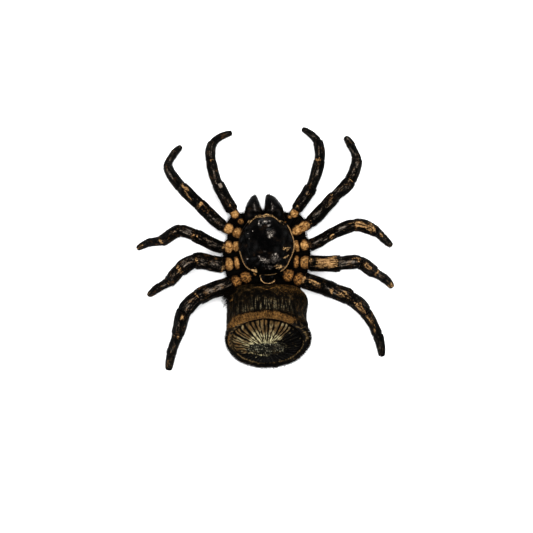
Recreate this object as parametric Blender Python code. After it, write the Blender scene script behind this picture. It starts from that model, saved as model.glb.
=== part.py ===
"""Dry set specimen of a disc-tailed trapdoor spider, lying on its belly with its legs spread.

The head points along +Y, the back along +Z. Lengths below are in millimetres and are scaled to
metres when a mesh is made. A limb is a chain of hard tubes; each tube is an object of its own.
"""

import math

import bmesh
import bpy
from mathutils import Matrix, Vector

MM = 0.001
GAP = 0.3  # between neighbouring pieces
UP = Vector((0, 0, 1))

# Carapace: the shield over the front half of the body.
CARAPACE_LENGTH = 13.7
CARAPACE_WIDTH = 12.3
CARAPACE_CENTRE = Vector((0.4, 1.2, 3.95))
CARAPACE_EDGE = 0.55
CARAPACE_RISE = 3.5
HEAD_LIFT = 0.6
HEAD_REACH = 3.4
FOVEA_DEPTH = 0.8
FOVEA_AHEAD = -3.4
FOVEA_SIZE = 1.3

# Sternum: the plate between the hips, with the lip at its front.
STERNUM_LENGTH = 9.0
STERNUM_WIDTH = 5.4
STERNUM_CENTRE = Vector((0.4, 0.0, 0.9))
STERNUM_THICKNESS = 0.8
LIP_REACH = 1.1

# Pedicel: the waist between the two halves of the body.
PEDICEL_FRONT = Vector((0.6, -5.2, 2.85))
PEDICEL_BACK = Vector((0.6, -6.95, 2.85))
PEDICEL_HALF_WIDTH = 1.9
PEDICEL_HALF_HEIGHT = 0.7

# Abdomen: a barrel that ends in a round, hardened disc which faces back and up. The disc is
# slightly domed and sits in a groove inside the rolled rim.
ABDOMEN_X = 0.55
DISC_CENTRE = Vector((ABDOMEN_X, -19.7, 7.7))
DISC_LEAN = math.radians(41)  # of the disc's normal above the horizontal
RIM_RADIUS = 9.25
GROOVE_RADIUS = 7.9
GROOVE_DEPTH = 0.6
DISC_RISE = 0.9
# Sections of the barrel: its back (y, z), its belly (y, z), half its width.
BARREL = (
    ((-7.3, 4.3), (-7.3, 2.3), 1.6),
    ((-7.5, 7.0), (-8.0, 0.8), 6.0),
    ((-8.6, 9.4), (-10.0, -0.5), 8.0),
    ((-10.2, 11.4), (-13.2, -0.9), 8.8),
    ((-11.8, 13.2), (-17.2, -0.9), 8.95),
    ((-12.8, 14.3), (-21.6, 1.7), 8.85),
)
# The rim's roll, the groove and the disc: radius and height along the disc's normal.
RIM = (
    (RIM_RADIUS - 0.1, -1.1),
    (RIM_RADIUS, -0.3),
    (RIM_RADIUS - 0.4, 0.3),
    (RIM_RADIUS - 0.9, 0.1),
    (GROOVE_RADIUS, -GROOVE_DEPTH),
    (GROOVE_RADIUS - 0.6, 0.0),
    (GROOVE_RADIUS * 0.6, 0.65 * DISC_RISE),
    (GROOVE_RADIUS * 0.2, DISC_RISE),
)

# Jaws: base, tip, half-width and half-height at the base.
JAWS = {
    "left": (Vector((-2.35, 8.35, 4.6)), Vector((-2.15, 12.3, 3.3)), 1.85, 2.0),
    "right": (Vector((2.05, 8.35, 4.6)), Vector((1.05, 12.4, 3.3)), 2.1, 2.0),
}
JAW_TAPER = ((0, 0.86), (0.08, 0.98), (0.35, 0.88), (0.6, 0.67), (0.85, 0.38), (0.96, 0.2), (1, 0.1))
FANG_DROP = (Vector((0, -0.75, -1.45)), Vector((0, -1.5, -2.35)), Vector((0, -3.1, -2.75)))
FANG_TAPER = ((0, 0.8), (0.15, 1), (0.4, 0.85), (0.7, 0.5), (1, 0.15))
FANG_RADIUS = 0.5

SPINNERET_RADIUS = 0.36
SPINNERET_LENGTH = 1.7
SPINNERET_SPREAD = 0.7
SPINNERET_ROOT = Vector((ABDOMEN_X, -20.8, 0.42))
SPINNERET_TAPER = ((0, 0.75), (0.2, 1), (0.7, 0.8), (1, 0.35))

# Limbs: where each hip starts in plan, then each segment's length in plan and its heading
# (degrees, anticlockwise from +X), from the body outwards.
LIMBS = {
    "palp_left": ((-3.9, 4.7), ((3.3, 130), (2.2, 122), (6.5, 119), (5.2, 106), (3.9, 85), (4.8, 29))),
    "palp_right": ((4.1, 4.7), ((3.0, 54), (2.5, 58), (5.7, 57), (6.1, 73), (4.1, 94), (4.5, 140))),
    "leg_1_left": (
        (-3.4, 2.9),
        ((3.9, 157), (2.5, 156), (7.2, 137), (5.3, 136), (5.3, 124), (3.0, 67), (2.5, 45)),
    ),
    "leg_1_right": (
        (4.3, 2.8),
        ((3.0, 31), (3.9, 32), (7.7, 46), (4.8, 46), (4.8, 72), (3.0, 106), (2.8, 128)),
    ),
    "leg_2_left": (
        (-3.4, 0.3),
        ((3.8, 172), (2.2, 184), (6.9, 156), (3.0, 165), (4.6, 207), (3.3, 190), (2.4, 209)),
    ),
    "leg_2_right": (
        (4.3, 0.3),
        ((3.9, 13), (2.1, 3), (6.2, 27), (4.3, 21), (5.1, 343), (2.4, 318), (2.2, 318)),
    ),
    "leg_3_left": (
        (-3.2, -2.2),
        ((4.1, 190), (2.2, 188), (6.2, 172), (3.7, 211), (3.4, 228), (3.6, 211), (1.9, 221)),
    ),
    "leg_3_right": (
        (4.3, -2.2),
        ((3.9, 354), (2.1, 353), (6.4, 360), (4.2, 3), (3.9, 327), (3.0, 328), (2.3, 311)),
    ),
    "leg_4_left": (
        (-2.1, -4.5),
        ((3.7, 213), (2.6, 201), (7.7, 202), (4.1, 228), (5.4, 252), (4.9, 252), (3.2, 263)),
    ),
    "leg_4_right": (
        (3.2, -4.5),
        ((3.7, 334), (2.4, 348), (7.0, 340), (3.6, 337), (4.5, 318), (4.2, 306), (6.7, 282)),
    ),
}
# Heights of the same joints above the surface, for each kind of limb.
JOINT_HEIGHTS = {
    "palp": (2.2, 2.4, 2.8, 4.6, 4.5, 2.6, 0.3),
    "leg_1": (2.2, 2.4, 2.9, 5.0, 5.0, 3.3, 1.7, 0.35),
    "leg_2": (2.2, 2.4, 2.9, 5.3, 5.6, 3.3, 1.7, 0.35),
    "leg_3": (2.2, 2.4, 3.0, 5.5, 5.7, 3.4, 1.7, 0.38),
    "leg_4": (2.2, 2.4, 3.0, 5.6, 5.7, 3.5, 1.8, 0.42),
}
# Radii of the hip, femur, patella, tibia and foot, for each kind of limb.
RADII = {
    "palp": (0.95, 1.37, 1.25, 1.13, 0.9),
    "leg_1": (1.15, 1.42, 1.35, 1.25, 1.02),
    "leg_2": (1.25, 1.38, 1.35, 1.42, 1.05),
    "leg_3": (1.35, 1.8, 1.55, 1.42, 1.12),
    "leg_4": (1.3, 1.78, 1.68, 1.62, 1.25),
}
# Each piece of a limb: its first joint, its last joint and which radius it has, then its outline
# as shares of its length and radius. The coxa carries its trochanter, and the foot is the
# metatarsus with its tarsus: their waists lie at the joint between the two. A palp's foot is
# its tarsus alone.
SEGMENTS = {
    "coxa": (
        (0, 2, 0),
        ((0, 0.6), (0.12, 0.85), (0.38, 1), (0.56, 0.9), (0.63, 0.76), (0.71, 0.95), (0.87, 0.95), (1, 0.6)),
    ),
    "femur": ((2, 3, 1), ((0, 0.66), (0.1, 0.9), (0.4, 1), (0.72, 0.97), (0.93, 0.92), (1, 0.66))),
    "patella": ((3, 4, 2), ((0, 0.66), (0.12, 0.9), (0.45, 1), (0.88, 0.93), (1, 0.66))),
    "tibia": ((4, 5, 3), ((0, 0.66), (0.12, 0.92), (0.45, 1), (0.88, 0.9), (1, 0.66))),
    "foot": (
        (5, 7, 4),
        ((0, 0.66), (0.08, 0.95), (0.3, 1), (0.5, 0.9), (0.56, 0.78), (0.64, 0.82), (0.88, 0.66), (1, 0.42)),
    ),
}
PALP_FOOT = ((5, 6, 4), ((0, 0.66), (0.1, 0.95), (0.35, 1), (0.65, 0.88), (0.88, 0.7), (1, 0.42)))
LEAN_REACH = 0.4  # share of a piece over which its sections turn to face its end
TALLNESS = 1.05  # a limb's height over its width
LIMB_SIDES = 10
BODY_SIDES = 24

MATERIALS = {
    "cuticle_gloss": ((0.012, 0.010, 0.009, 1), 0.22),
    "cuticle_black": ((0.020, 0.017, 0.015, 1), 0.45),
    "cuticle_tan": ((0.45, 0.26, 0.10, 1), 0.6),
    "abdomen_skin": ((0.060, 0.038, 0.018, 1), 0.7),
}


def clear_scene():
    for obj in list(bpy.data.objects):
        bpy.data.objects.remove(obj, do_unlink=True)


def make_material(name):
    colour, roughness = MATERIALS[name]
    material = bpy.data.materials.new(name)
    material.use_nodes = True
    shader = material.node_tree.nodes["Principled BSDF"]
    shader.inputs["Base Color"].default_value = colour
    shader.inputs["Roughness"].default_value = roughness
    shader.inputs["Metallic"].default_value = 0.0
    material.diffuse_color = colour
    return material


def make_empty(name, place, parent=None):
    empty = bpy.data.objects.new(name, None)
    empty.location = place * MM
    bpy.context.scene.collection.objects.link(empty)
    if parent:
        empty.parent = parent
    return empty


def chain_frame(origin, ahead):
    """The matrix of an object whose own +Y runs from origin towards ahead, with its +Z upwards."""
    y_axis = (ahead - origin).normalized()
    x_axis = y_axis.cross(UP).normalized()
    z_axis = x_axis.cross(y_axis)
    turn = Matrix((x_axis, y_axis, z_axis)).transposed().to_4x4()
    return Matrix.Translation(origin * MM) @ turn


def make_solid(name, rings, material, parent, frame):
    """A closed solid lofted through rings of points in the specimen's frame, with flat ends."""
    inverse = frame.inverted()
    bm = bmesh.new()
    loops = []
    for ring in rings:
        grounded = [Vector((p.x, p.y, max(p.z, 0.0))) for p in ring]
        loops.append([bm.verts.new(inverse @ (p * MM)) for p in grounded])
    count = len(rings[0])
    for first, second in zip(loops, loops[1:]):
        for i in range(count):
            j = (i + 1) % count
            bm.faces.new((first[i], first[j], second[j], second[i]))
    bm.faces.new(loops[0])
    bm.faces.new(loops[-1])
    bmesh.ops.recalc_face_normals(bm, faces=bm.faces)
    mesh = bpy.data.meshes.new(name)
    bm.to_mesh(mesh)
    bm.free()
    mesh.shade_smooth()
    mesh.set_sharp_from_angle(angle=math.radians(50))
    mesh.materials.append(material)
    obj = bpy.data.objects.new(name, mesh)
    bpy.context.scene.collection.objects.link(obj)
    obj.parent = parent
    obj.matrix_local = parent_space(parent).inverted() @ frame
    return obj


def parent_space(parent):
    """The matrix of an empty's children in the specimen's frame, before the specimen is centred."""
    space = Matrix.Identity(4)
    while parent:
        space = Matrix.Translation(parent.location) @ space
        parent = parent.parent
    return space


def ellipse_ring(centre, side, up, half_width, half_height, sides):
    turns = [2 * math.pi * i / sides for i in range(sides)]
    return [
        centre + side * (half_width * math.cos(a)) + up * (half_height * math.sin(a)) for a in turns
    ]


def point_along(path, share):
    """The point at that share of a polyline's length, and the polyline's direction there."""
    lengths = [(b - a).length for a, b in zip(path, path[1:])]
    left = share * sum(lengths)
    for i, length in enumerate(lengths):
        if left <= length or i == len(lengths) - 1:
            break
        left -= length
    a, b = path[i], path[i + 1]
    ahead = (b - a).normalized()
    if i + 1 < len(lengths) and left > 0.75 * length:
        ahead = (ahead + (path[i + 2] - b).normalized()).normalized()
    elif i > 0 and left < 0.25 * length:
        ahead = (ahead + (a - path[i - 1]).normalized()).normalized()
    return a.lerp(b, left / length), ahead


def make_tube(name, path, profile, half_width, half_height, material, parent, ends=(None, None)):
    """A tube along a path, whose outline is (share of length, share of radius).

    Its end faces look along the directions in ends, if they are given, and the sections near
    them lean the same way.
    """
    rings = []
    for share, swell in profile:
        centre, ahead = point_along(path, share)
        for end, distance in zip(ends, (share, 1 - share)):
            if end:
                ahead = ahead.lerp(end, max(0.0, 1 - distance / LEAN_REACH)).normalized()
        side = ahead.cross(UP).normalized()
        up = side.cross(ahead)
        rings.append(
            ellipse_ring(centre, side, up, half_width * swell, half_height * swell, LIMB_SIDES)
        )
    return make_solid(name, rings, material, parent, chain_frame(path[0], path[-1]))


def limb_joints(name):
    """The points of a limb's joints, from the hip's inner end to the tip of the foot."""
    (x, y), steps = LIMBS[name]
    heights = JOINT_HEIGHTS[limb_kind(name)]
    joints = [Vector((x, y, heights[0]))]
    for (length, heading), height in zip(steps, heights[1:]):
        turn = math.radians(heading)
        x += length * math.cos(turn)
        y += length * math.sin(turn)
        joints.append(Vector((x, y, height)))
    return joints


def limb_kind(name):
    return name.rsplit("_", 1)[0]


def joint_direction(joints, i):
    """The direction across a joint: the mean of those of the two segments that meet there."""
    directions = [(b - a).normalized() for a, b in zip(joints, joints[1:])]
    return sum(directions[max(0, i - 1) : i + 1], Vector()).normalized()


def build_limb(name, materials, specimen):
    joints = limb_joints(name)
    radii = RADII[limb_kind(name)]
    hip = make_empty(name, joints[0], specimen)
    segments = dict(SEGMENTS)
    if name.startswith("palp"):
        del segments["foot"]
        segments["tarsus"] = PALP_FOOT
    for segment, ((first, last, radius_of), profile) in segments.items():
        path = joints[first : last + 1]
        ends = joint_direction(joints, first), joint_direction(joints, last)
        start_ahead = (path[1] - path[0]).normalized()
        end_ahead = (path[-1] - path[-2]).normalized()
        path[0] = path[0] + start_ahead * (GAP / 2 / ends[0].dot(start_ahead))
        if last < len(joints) - 1:
            path[-1] = path[-1] - end_ahead * (GAP / 2 / ends[1].dot(end_ahead))
        material = materials["cuticle_tan" if segment == "coxa" else "cuticle_black"]
        make_tube(
            f"{name}_{segment}",
            path,
            profile,
            radii[radius_of],
            radii[radius_of] * TALLNESS,
            material,
            hip,
            ends,
        )


def carapace_height(x, y):
    """Height of the shield's upper surface over its edge, at x, y from its centre."""
    share = math.hypot(x / (CARAPACE_WIDTH / 2), y / (CARAPACE_LENGTH / 2))
    dome = CARAPACE_RISE * max(0.0, 1 - share**2) ** 0.62
    head = HEAD_LIFT * math.exp(-((x / HEAD_REACH) ** 2) - ((y - 2.6) / HEAD_REACH) ** 2)
    fovea = FOVEA_DEPTH * math.exp(-((x / (1.4 * FOVEA_SIZE)) ** 2) - ((y - FOVEA_AHEAD) / FOVEA_SIZE) ** 2)
    return dome + (head - fovea) * max(0.0, 1 - share**4)


def build_carapace(materials, specimen):
    centre = CARAPACE_CENTRE
    rings = []
    for share in (0.06, 0.22, 0.4, 0.58, 0.76, 0.9, 1.0):
        ring = []
        for i in range(BODY_SIDES):
            turn = 2 * math.pi * i / BODY_SIDES
            x = share * CARAPACE_WIDTH / 2 * math.cos(turn)
            y = share * CARAPACE_LENGTH / 2 * math.sin(turn)
            ring.append(centre + Vector((x, y, CARAPACE_EDGE + carapace_height(x, y))))
        rings.append(ring)
    level_top = sum(p.z for p in rings[0]) / BODY_SIDES
    rings[0] = [Vector((p.x, p.y, level_top)) for p in rings[0]]
    half = Vector((CARAPACE_WIDTH / 2 - 0.2, CARAPACE_LENGTH / 2 - 0.2, 0))
    rings.append(ellipse_ring(centre, Vector((1, 0, 0)), Vector((0, 1, 0)), half.x, half.y, BODY_SIDES))
    return make_solid(
        "carapace", rings, materials["cuticle_gloss"], specimen, Matrix.Translation(centre * MM)
    )


def build_sternum(materials, specimen):
    """A slightly domed plate, its lip drawn out at the front."""
    centre = STERNUM_CENTRE
    rings = []
    for share, height in ((0.86, 0.0), (1.0, 0.35), (0.9, 0.8)):
        ring = []
        for i in range(LIMB_SIDES * 2):
            turn = math.pi * i / LIMB_SIDES
            reach = LIP_REACH * max(0.0, math.sin(turn)) ** 12
            x = share * STERNUM_WIDTH / 2 * math.cos(turn)
            y = share * (STERNUM_LENGTH / 2) * math.sin(turn) + reach
            ring.append(centre + Vector((x, y, height * STERNUM_THICKNESS / 0.8)))
        rings.append(ring)
    return make_solid(
        "sternum", rings, materials["cuticle_black"], specimen, Matrix.Translation(centre * MM)
    )


def build_pedicel(materials, specimen):
    profile = ((0, 0.7), (0.25, 0.95), (0.6, 1.0), (1, 0.8))
    return make_tube(
        "pedicel",
        [PEDICEL_FRONT, PEDICEL_BACK],
        profile,
        PEDICEL_HALF_WIDTH,
        PEDICEL_HALF_HEIGHT,
        materials["cuticle_gloss"],
        specimen,
    )


def build_abdomen(materials, specimen):
    side = Vector((1, 0, 0))
    rings = []
    for (back_y, back_z), (belly_y, belly_z), half_width in BARREL:
        back = Vector((ABDOMEN_X, back_y, back_z))
        belly = Vector((ABDOMEN_X, belly_y, belly_z))
        half = (back - belly) / 2
        rings.append(
            ellipse_ring(belly + half, side, half.normalized(), half_width, half.length, BODY_SIDES)
        )
    normal = Vector((0, -math.cos(DISC_LEAN), math.sin(DISC_LEAN)))
    up = Vector((0, math.sin(DISC_LEAN), math.cos(DISC_LEAN)))
    for radius, height in RIM:
        rings.append(
            ellipse_ring(DISC_CENTRE + normal * height, side, up, radius, radius, BODY_SIDES)
        )
    origin = Vector((ABDOMEN_X, BARREL[0][0][0], PEDICEL_BACK.z))
    return make_solid(
        "abdomen", rings, materials["abdomen_skin"], specimen, Matrix.Translation(origin * MM)
    )


def build_jaws(materials, specimen):
    side, up = Vector((1, 0, 0)), Vector((0, 0, 1))
    for name, (base, tip, half_width, half_height) in JAWS.items():
        rings = [
            ellipse_ring(
                base.lerp(tip, share), side, up, half_width * swell, half_height * swell, LIMB_SIDES
            )
            for share, swell in JAW_TAPER
        ]
        make_solid(
            f"chelicera_{name}",
            rings,
            materials["cuticle_gloss"],
            specimen,
            Matrix.Translation(base * MM),
        )
        make_tube(
            f"fang_{name}",
            [tip + drop for drop in FANG_DROP],
            FANG_TAPER,
            FANG_RADIUS,
            FANG_RADIUS,
            materials["cuticle_gloss"],
            specimen,
        )


def build_spinnerets(materials, specimen):
    for side, sign in (("left", -1), ("right", 1)):
        root = SPINNERET_ROOT + Vector((sign * SPINNERET_SPREAD, 0, 0))
        tip = root + Vector((sign * 0.25 * SPINNERET_LENGTH, -SPINNERET_LENGTH, 0))
        make_tube(
            f"spinneret_{side}",
            [root, tip],
            SPINNERET_TAPER,
            SPINNERET_RADIUS,
            SPINNERET_RADIUS,
            materials["abdomen_skin"],
            specimen,
        )


def centre_on_base(specimen):
    """Moves the specimen so that the origin is under the middle of its outline, on the surface."""
    bpy.context.view_layer.update()
    corners = [
        obj.matrix_world @ vertex.co
        for obj in bpy.data.objects
        if obj.type == "MESH"
        for vertex in obj.data.vertices
    ]
    low = Vector([min(c[axis] for c in corners) for axis in range(3)])
    high = Vector([max(c[axis] for c in corners) for axis in range(3)])
    middle = (low + high) / 2
    specimen.location -= Vector((middle.x, middle.y, low.z))


def main():
    clear_scene()
    materials = {name: make_material(name) for name in MATERIALS}
    specimen = make_empty("specimen", Vector((0, 0, 0)))
    build_carapace(materials, specimen)
    build_sternum(materials, specimen)
    build_pedicel(materials, specimen)
    build_abdomen(materials, specimen)
    build_jaws(materials, specimen)
    build_spinnerets(materials, specimen)
    for name in LIMBS:
        build_limb(name, materials, specimen)
    centre_on_base(specimen)


main()
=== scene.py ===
"""Looks of a dry set trapdoor spider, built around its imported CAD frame.

Lengths are in millimetres until a mesh is made. +Y is towards the head and +Z out of the back.
"""

import math

import bpy
import numpy as np
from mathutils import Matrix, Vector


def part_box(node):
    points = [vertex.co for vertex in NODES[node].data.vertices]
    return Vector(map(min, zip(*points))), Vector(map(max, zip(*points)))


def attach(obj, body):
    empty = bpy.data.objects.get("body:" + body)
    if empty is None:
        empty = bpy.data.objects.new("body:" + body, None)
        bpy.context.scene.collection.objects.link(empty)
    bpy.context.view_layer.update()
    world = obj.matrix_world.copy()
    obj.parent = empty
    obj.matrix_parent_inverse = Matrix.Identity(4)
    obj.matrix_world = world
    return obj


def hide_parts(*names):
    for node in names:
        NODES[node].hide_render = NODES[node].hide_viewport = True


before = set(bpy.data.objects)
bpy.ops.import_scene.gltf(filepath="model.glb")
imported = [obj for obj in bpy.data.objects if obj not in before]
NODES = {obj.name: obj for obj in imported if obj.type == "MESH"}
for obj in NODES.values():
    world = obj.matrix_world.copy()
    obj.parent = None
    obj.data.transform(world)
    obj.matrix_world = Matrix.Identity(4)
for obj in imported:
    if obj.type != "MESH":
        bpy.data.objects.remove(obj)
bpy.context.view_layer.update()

MM = 0.001
UP = np.array([0.0, 0.0, 1.0])
ACROSS = np.array([1.0, 0.0, 0.0])
# The least height of a limb's surface over the ground, and the range of ordinary hairs' radii.
GROUND_GAP = 0.012
HAIR_RADIUS = (0.010, 0.018)


# ---------------------------------------------------------------- numbers and noise


def unit(v):
    return v / np.linalg.norm(v, axis=-1, keepdims=True)


def points(*parts):
    """Vectors made from coordinate arrays that broadcast together."""
    return np.stack(np.broadcast_arrays(*parts), -1)


def circle(count):
    return np.linspace(0, 2 * math.pi, count, endpoint=False)


def level_frame(ahead):
    """The level direction to the side of ahead, and the one at right angles to both."""
    side = unit(np.cross(ahead, UP))
    return side, np.cross(side, ahead)


def keep_off_ground(places, least=GROUND_GAP):
    places[..., 2] = np.maximum(places[..., 2], least)


def box_mm(node):
    """A CAD node's box: its low and high corners, its middle and half its size."""
    low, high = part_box(node)
    low, high = np.array(low) / MM, np.array(high) / MM
    return low, high, (low + high) / 2, (high - low) / 2


def mix(a, b, share):
    return a + (b - a) * share


def smooth(low, high, x):
    t = np.clip((x - low) / (high - low), 0, 1)
    return t * t * (3 - 2 * t)


def bump(x, middle, width):
    return np.exp(-(((x - middle) / width) ** 2))


def plateau(x, middle, half):
    return np.exp(-(((x - middle) / half) ** 4))


def hermite(start, end, leaving, arriving, t):
    t2, t3 = t * t, t * t * t
    return (
        start * (2 * t3 - 3 * t2 + 1)
        + end * (3 * t2 - 2 * t3)
        + leaving * (t3 - 2 * t2 + t)
        + arriving * (t3 - t2)
    )


def curve(stops, x):
    """A smooth curve through (position, value) stops, read at x."""
    at = np.array([stop[0] for stop in stops], float)
    value = np.array([stop[1] for stop in stops], float)
    slope = np.gradient(value, at, axis=0)
    i = np.clip(np.searchsorted(at, x) - 1, 0, len(at) - 2)
    width = at[i + 1] - at[i]
    t = np.clip((x - at[i]) / width, 0, 1)
    if value.ndim > 1:
        width, t = width[..., None], t[..., None]
    return hermite(value[i], value[i + 1], slope[i] * width, slope[i + 1] * width, t)


def lattice(x, y, z, seed):
    h = (x * 73856093) ^ (y * 19349663) ^ (z * 83492791) ^ (seed * 40503917)
    h &= 0xFFFFFFFF
    h = ((h ^ (h >> 15)) * 73244475) & 0xFFFFFFFF
    h = ((h ^ (h >> 13)) * 73244475) & 0xFFFFFFFF
    return ((h ^ (h >> 16)) & 0xFFFF) / 32767.5 - 1


def noise(places, size, seed):
    """Smooth noise from -1 to 1 at places (..., 3), with features of that size."""
    p = np.asarray(places, float) / size
    cell = np.floor(p).astype(np.int64)
    f = p - cell
    f = f * f * (3 - 2 * f)
    total = 0.0
    for dx in (0, 1):
        for dy in (0, 1):
            for dz in (0, 1):
                weight = (
                    (f[..., 0] if dx else 1 - f[..., 0])
                    * (f[..., 1] if dy else 1 - f[..., 1])
                    * (f[..., 2] if dz else 1 - f[..., 2])
                )
                corner = lattice(cell[..., 0] + dx, cell[..., 1] + dy, cell[..., 2] + dz, seed)
                total = total + weight * corner
    return total


def layered(places, size, seed, layers=3):
    return sum(noise(places, size / 2**i, seed + 17 * i) / 2**i for i in range(layers)) / 1.6


# ---------------------------------------------------------------- meshes


def grid_faces(rows, columns, first=0):
    """Quads of a grid of rows by columns of vertices that closes on itself across its columns."""
    r, c = np.meshgrid(np.arange(rows - 1), np.arange(columns), indexing="ij")
    nxt = (c + 1) % columns
    quads = np.stack(
        [r * columns + c, r * columns + nxt, (r + 1) * columns + nxt, (r + 1) * columns + c], -1
    )
    return quads.reshape(-1, 4) + first


def fan(ring, middle, flip):
    nxt = np.roll(ring, -1)
    a, b = (nxt, ring) if flip else (ring, nxt)
    return np.stack([a, b, np.full(len(ring), middle)], -1)


def link(name, data):
    thing = bpy.data.objects.new(name, data)
    bpy.context.scene.collection.objects.link(thing)
    return thing


class Surface:
    """Vertices, faces and vertex values of one piece, added part by part."""

    def __init__(self):
        self.verts, self.quads, self.tris, self.values, self.count = [], [], [], {}, 0

    def tube(self, rings, values=None):
        """Adds a closed tube through rings (rows, columns, 3), with values for each place on it."""
        rows, columns = rings.shape[:2]
        start = self.count
        ends = np.array([rings[0].mean(0), rings[-1].mean(0)])
        self.verts += [rings.reshape(-1, 3), ends]
        total = rows * columns
        self.quads.append(grid_faces(rows, columns, start))
        first = start + np.arange(columns)
        last = first + (rows - 1) * columns
        self.tris += [fan(first, start + total, True), fan(last, start + total + 1, False)]
        for name, value in (values or {}).items():
            value = np.broadcast_to(value, (*rings.shape[:2], *np.shape(value)[2:]))
            flat = value.reshape(total, *value.shape[2:])
            caps = np.array([value[0].mean(0), value[-1].mean(0)])
            self.values.setdefault(name, []).append(np.concatenate([flat, caps]))
        self.count += total + 2

    def raw(self, verts, quads, tris, values=None):
        if len(quads):
            self.quads.append(np.asarray(quads) + self.count)
        if len(tris):
            self.tris.append(np.asarray(tris) + self.count)
        self.verts.append(verts)
        for name, value in (values or {}).items():
            self.values.setdefault(name, []).append(np.asarray(value, float))
        self.count += len(verts)

    def piece(self, name, material, slot, nodes=()):
        verts = np.concatenate(self.verts) * MM
        quads = np.concatenate(self.quads) if self.quads else np.zeros((0, 4), int)
        tris = np.concatenate(self.tris) if self.tris else np.zeros((0, 3), int)
        mesh = bpy.data.meshes.new(name)
        mesh.vertices.add(len(verts))
        mesh.vertices.foreach_set("co", verts.ravel())
        corners = np.concatenate([quads.ravel(), tris.ravel()])
        starts = np.concatenate(
            [np.arange(len(quads)) * 4, len(quads) * 4 + np.arange(len(tris)) * 3]
        )
        mesh.loops.add(len(corners))
        mesh.loops.foreach_set("vertex_index", corners)
        mesh.polygons.add(len(starts))
        mesh.polygons.foreach_set("loop_start", starts)
        mesh.update(calc_edges=True)
        mesh.validate()
        mesh.shade_smooth()
        for key, parts in self.values.items():
            value = np.concatenate(parts)
            kind = "FLOAT_VECTOR" if value.ndim > 1 else "FLOAT"
            field = "vector" if value.ndim > 1 else "value"
            attribute = mesh.attributes.new(key, kind, "POINT")
            attribute.data.foreach_set(field, value.astype(np.float32).ravel())
        mesh.materials.append(material)
        obj = link(name, mesh)
        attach(obj, "root")
        if nodes:
            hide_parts(*nodes)


def add_hairs(surface, roots, directions, lengths, radii, droop, shade=None, keep=None):
    """Adds thin curved spikes, where keep allows. Each bends from its direction by droop."""
    droop = np.broadcast_to(droop, roots.shape)
    if keep is not None:
        every = (roots, directions, lengths, radii, droop)
        roots, directions, lengths, radii, droop = (part[keep] for part in every)
    n = len(roots)
    directions = unit(directions)
    lengths, radii = lengths[:, None], radii[:, None]
    side = unit(np.cross(directions, unit(droop) + np.array([0.013, 0.021, 0.017])))
    other = np.cross(directions, side)
    middle = roots + directions * lengths * 0.5 + droop * lengths * 0.12
    tip = roots + directions * lengths * 0.95 + droop * lengths * 0.5
    rings = []
    for centre, share in ((roots - directions * 0.04, 1.0), (middle, 0.72)):
        for k in range(3):
            turn = 2 * math.pi * k / 3
            rings.append(centre + (side * math.cos(turn) + other * math.sin(turn)) * radii * share)
    verts = np.stack([*rings, tip], 1).reshape(-1, 3)
    keep_off_ground(verts, 0.01)
    base = np.arange(n)[:, None] * 7
    quads = np.concatenate([base + [k, (k + 1) % 3, 3 + (k + 1) % 3, 3 + k] for k in range(3)])
    tris = [base + [3 + k, 3 + (k + 1) % 3, 6] for k in range(3)]
    tris = np.concatenate(tris + [base + [2, 1, 0]])
    if shade is None:
        shade = 0.5 + 0.5 * lattice(np.arange(n), 3, 5, 7)
    surface.raw(verts, quads, tris, {"shade": np.repeat(shade, 7)})


# ---------------------------------------------------------------- materials


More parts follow.
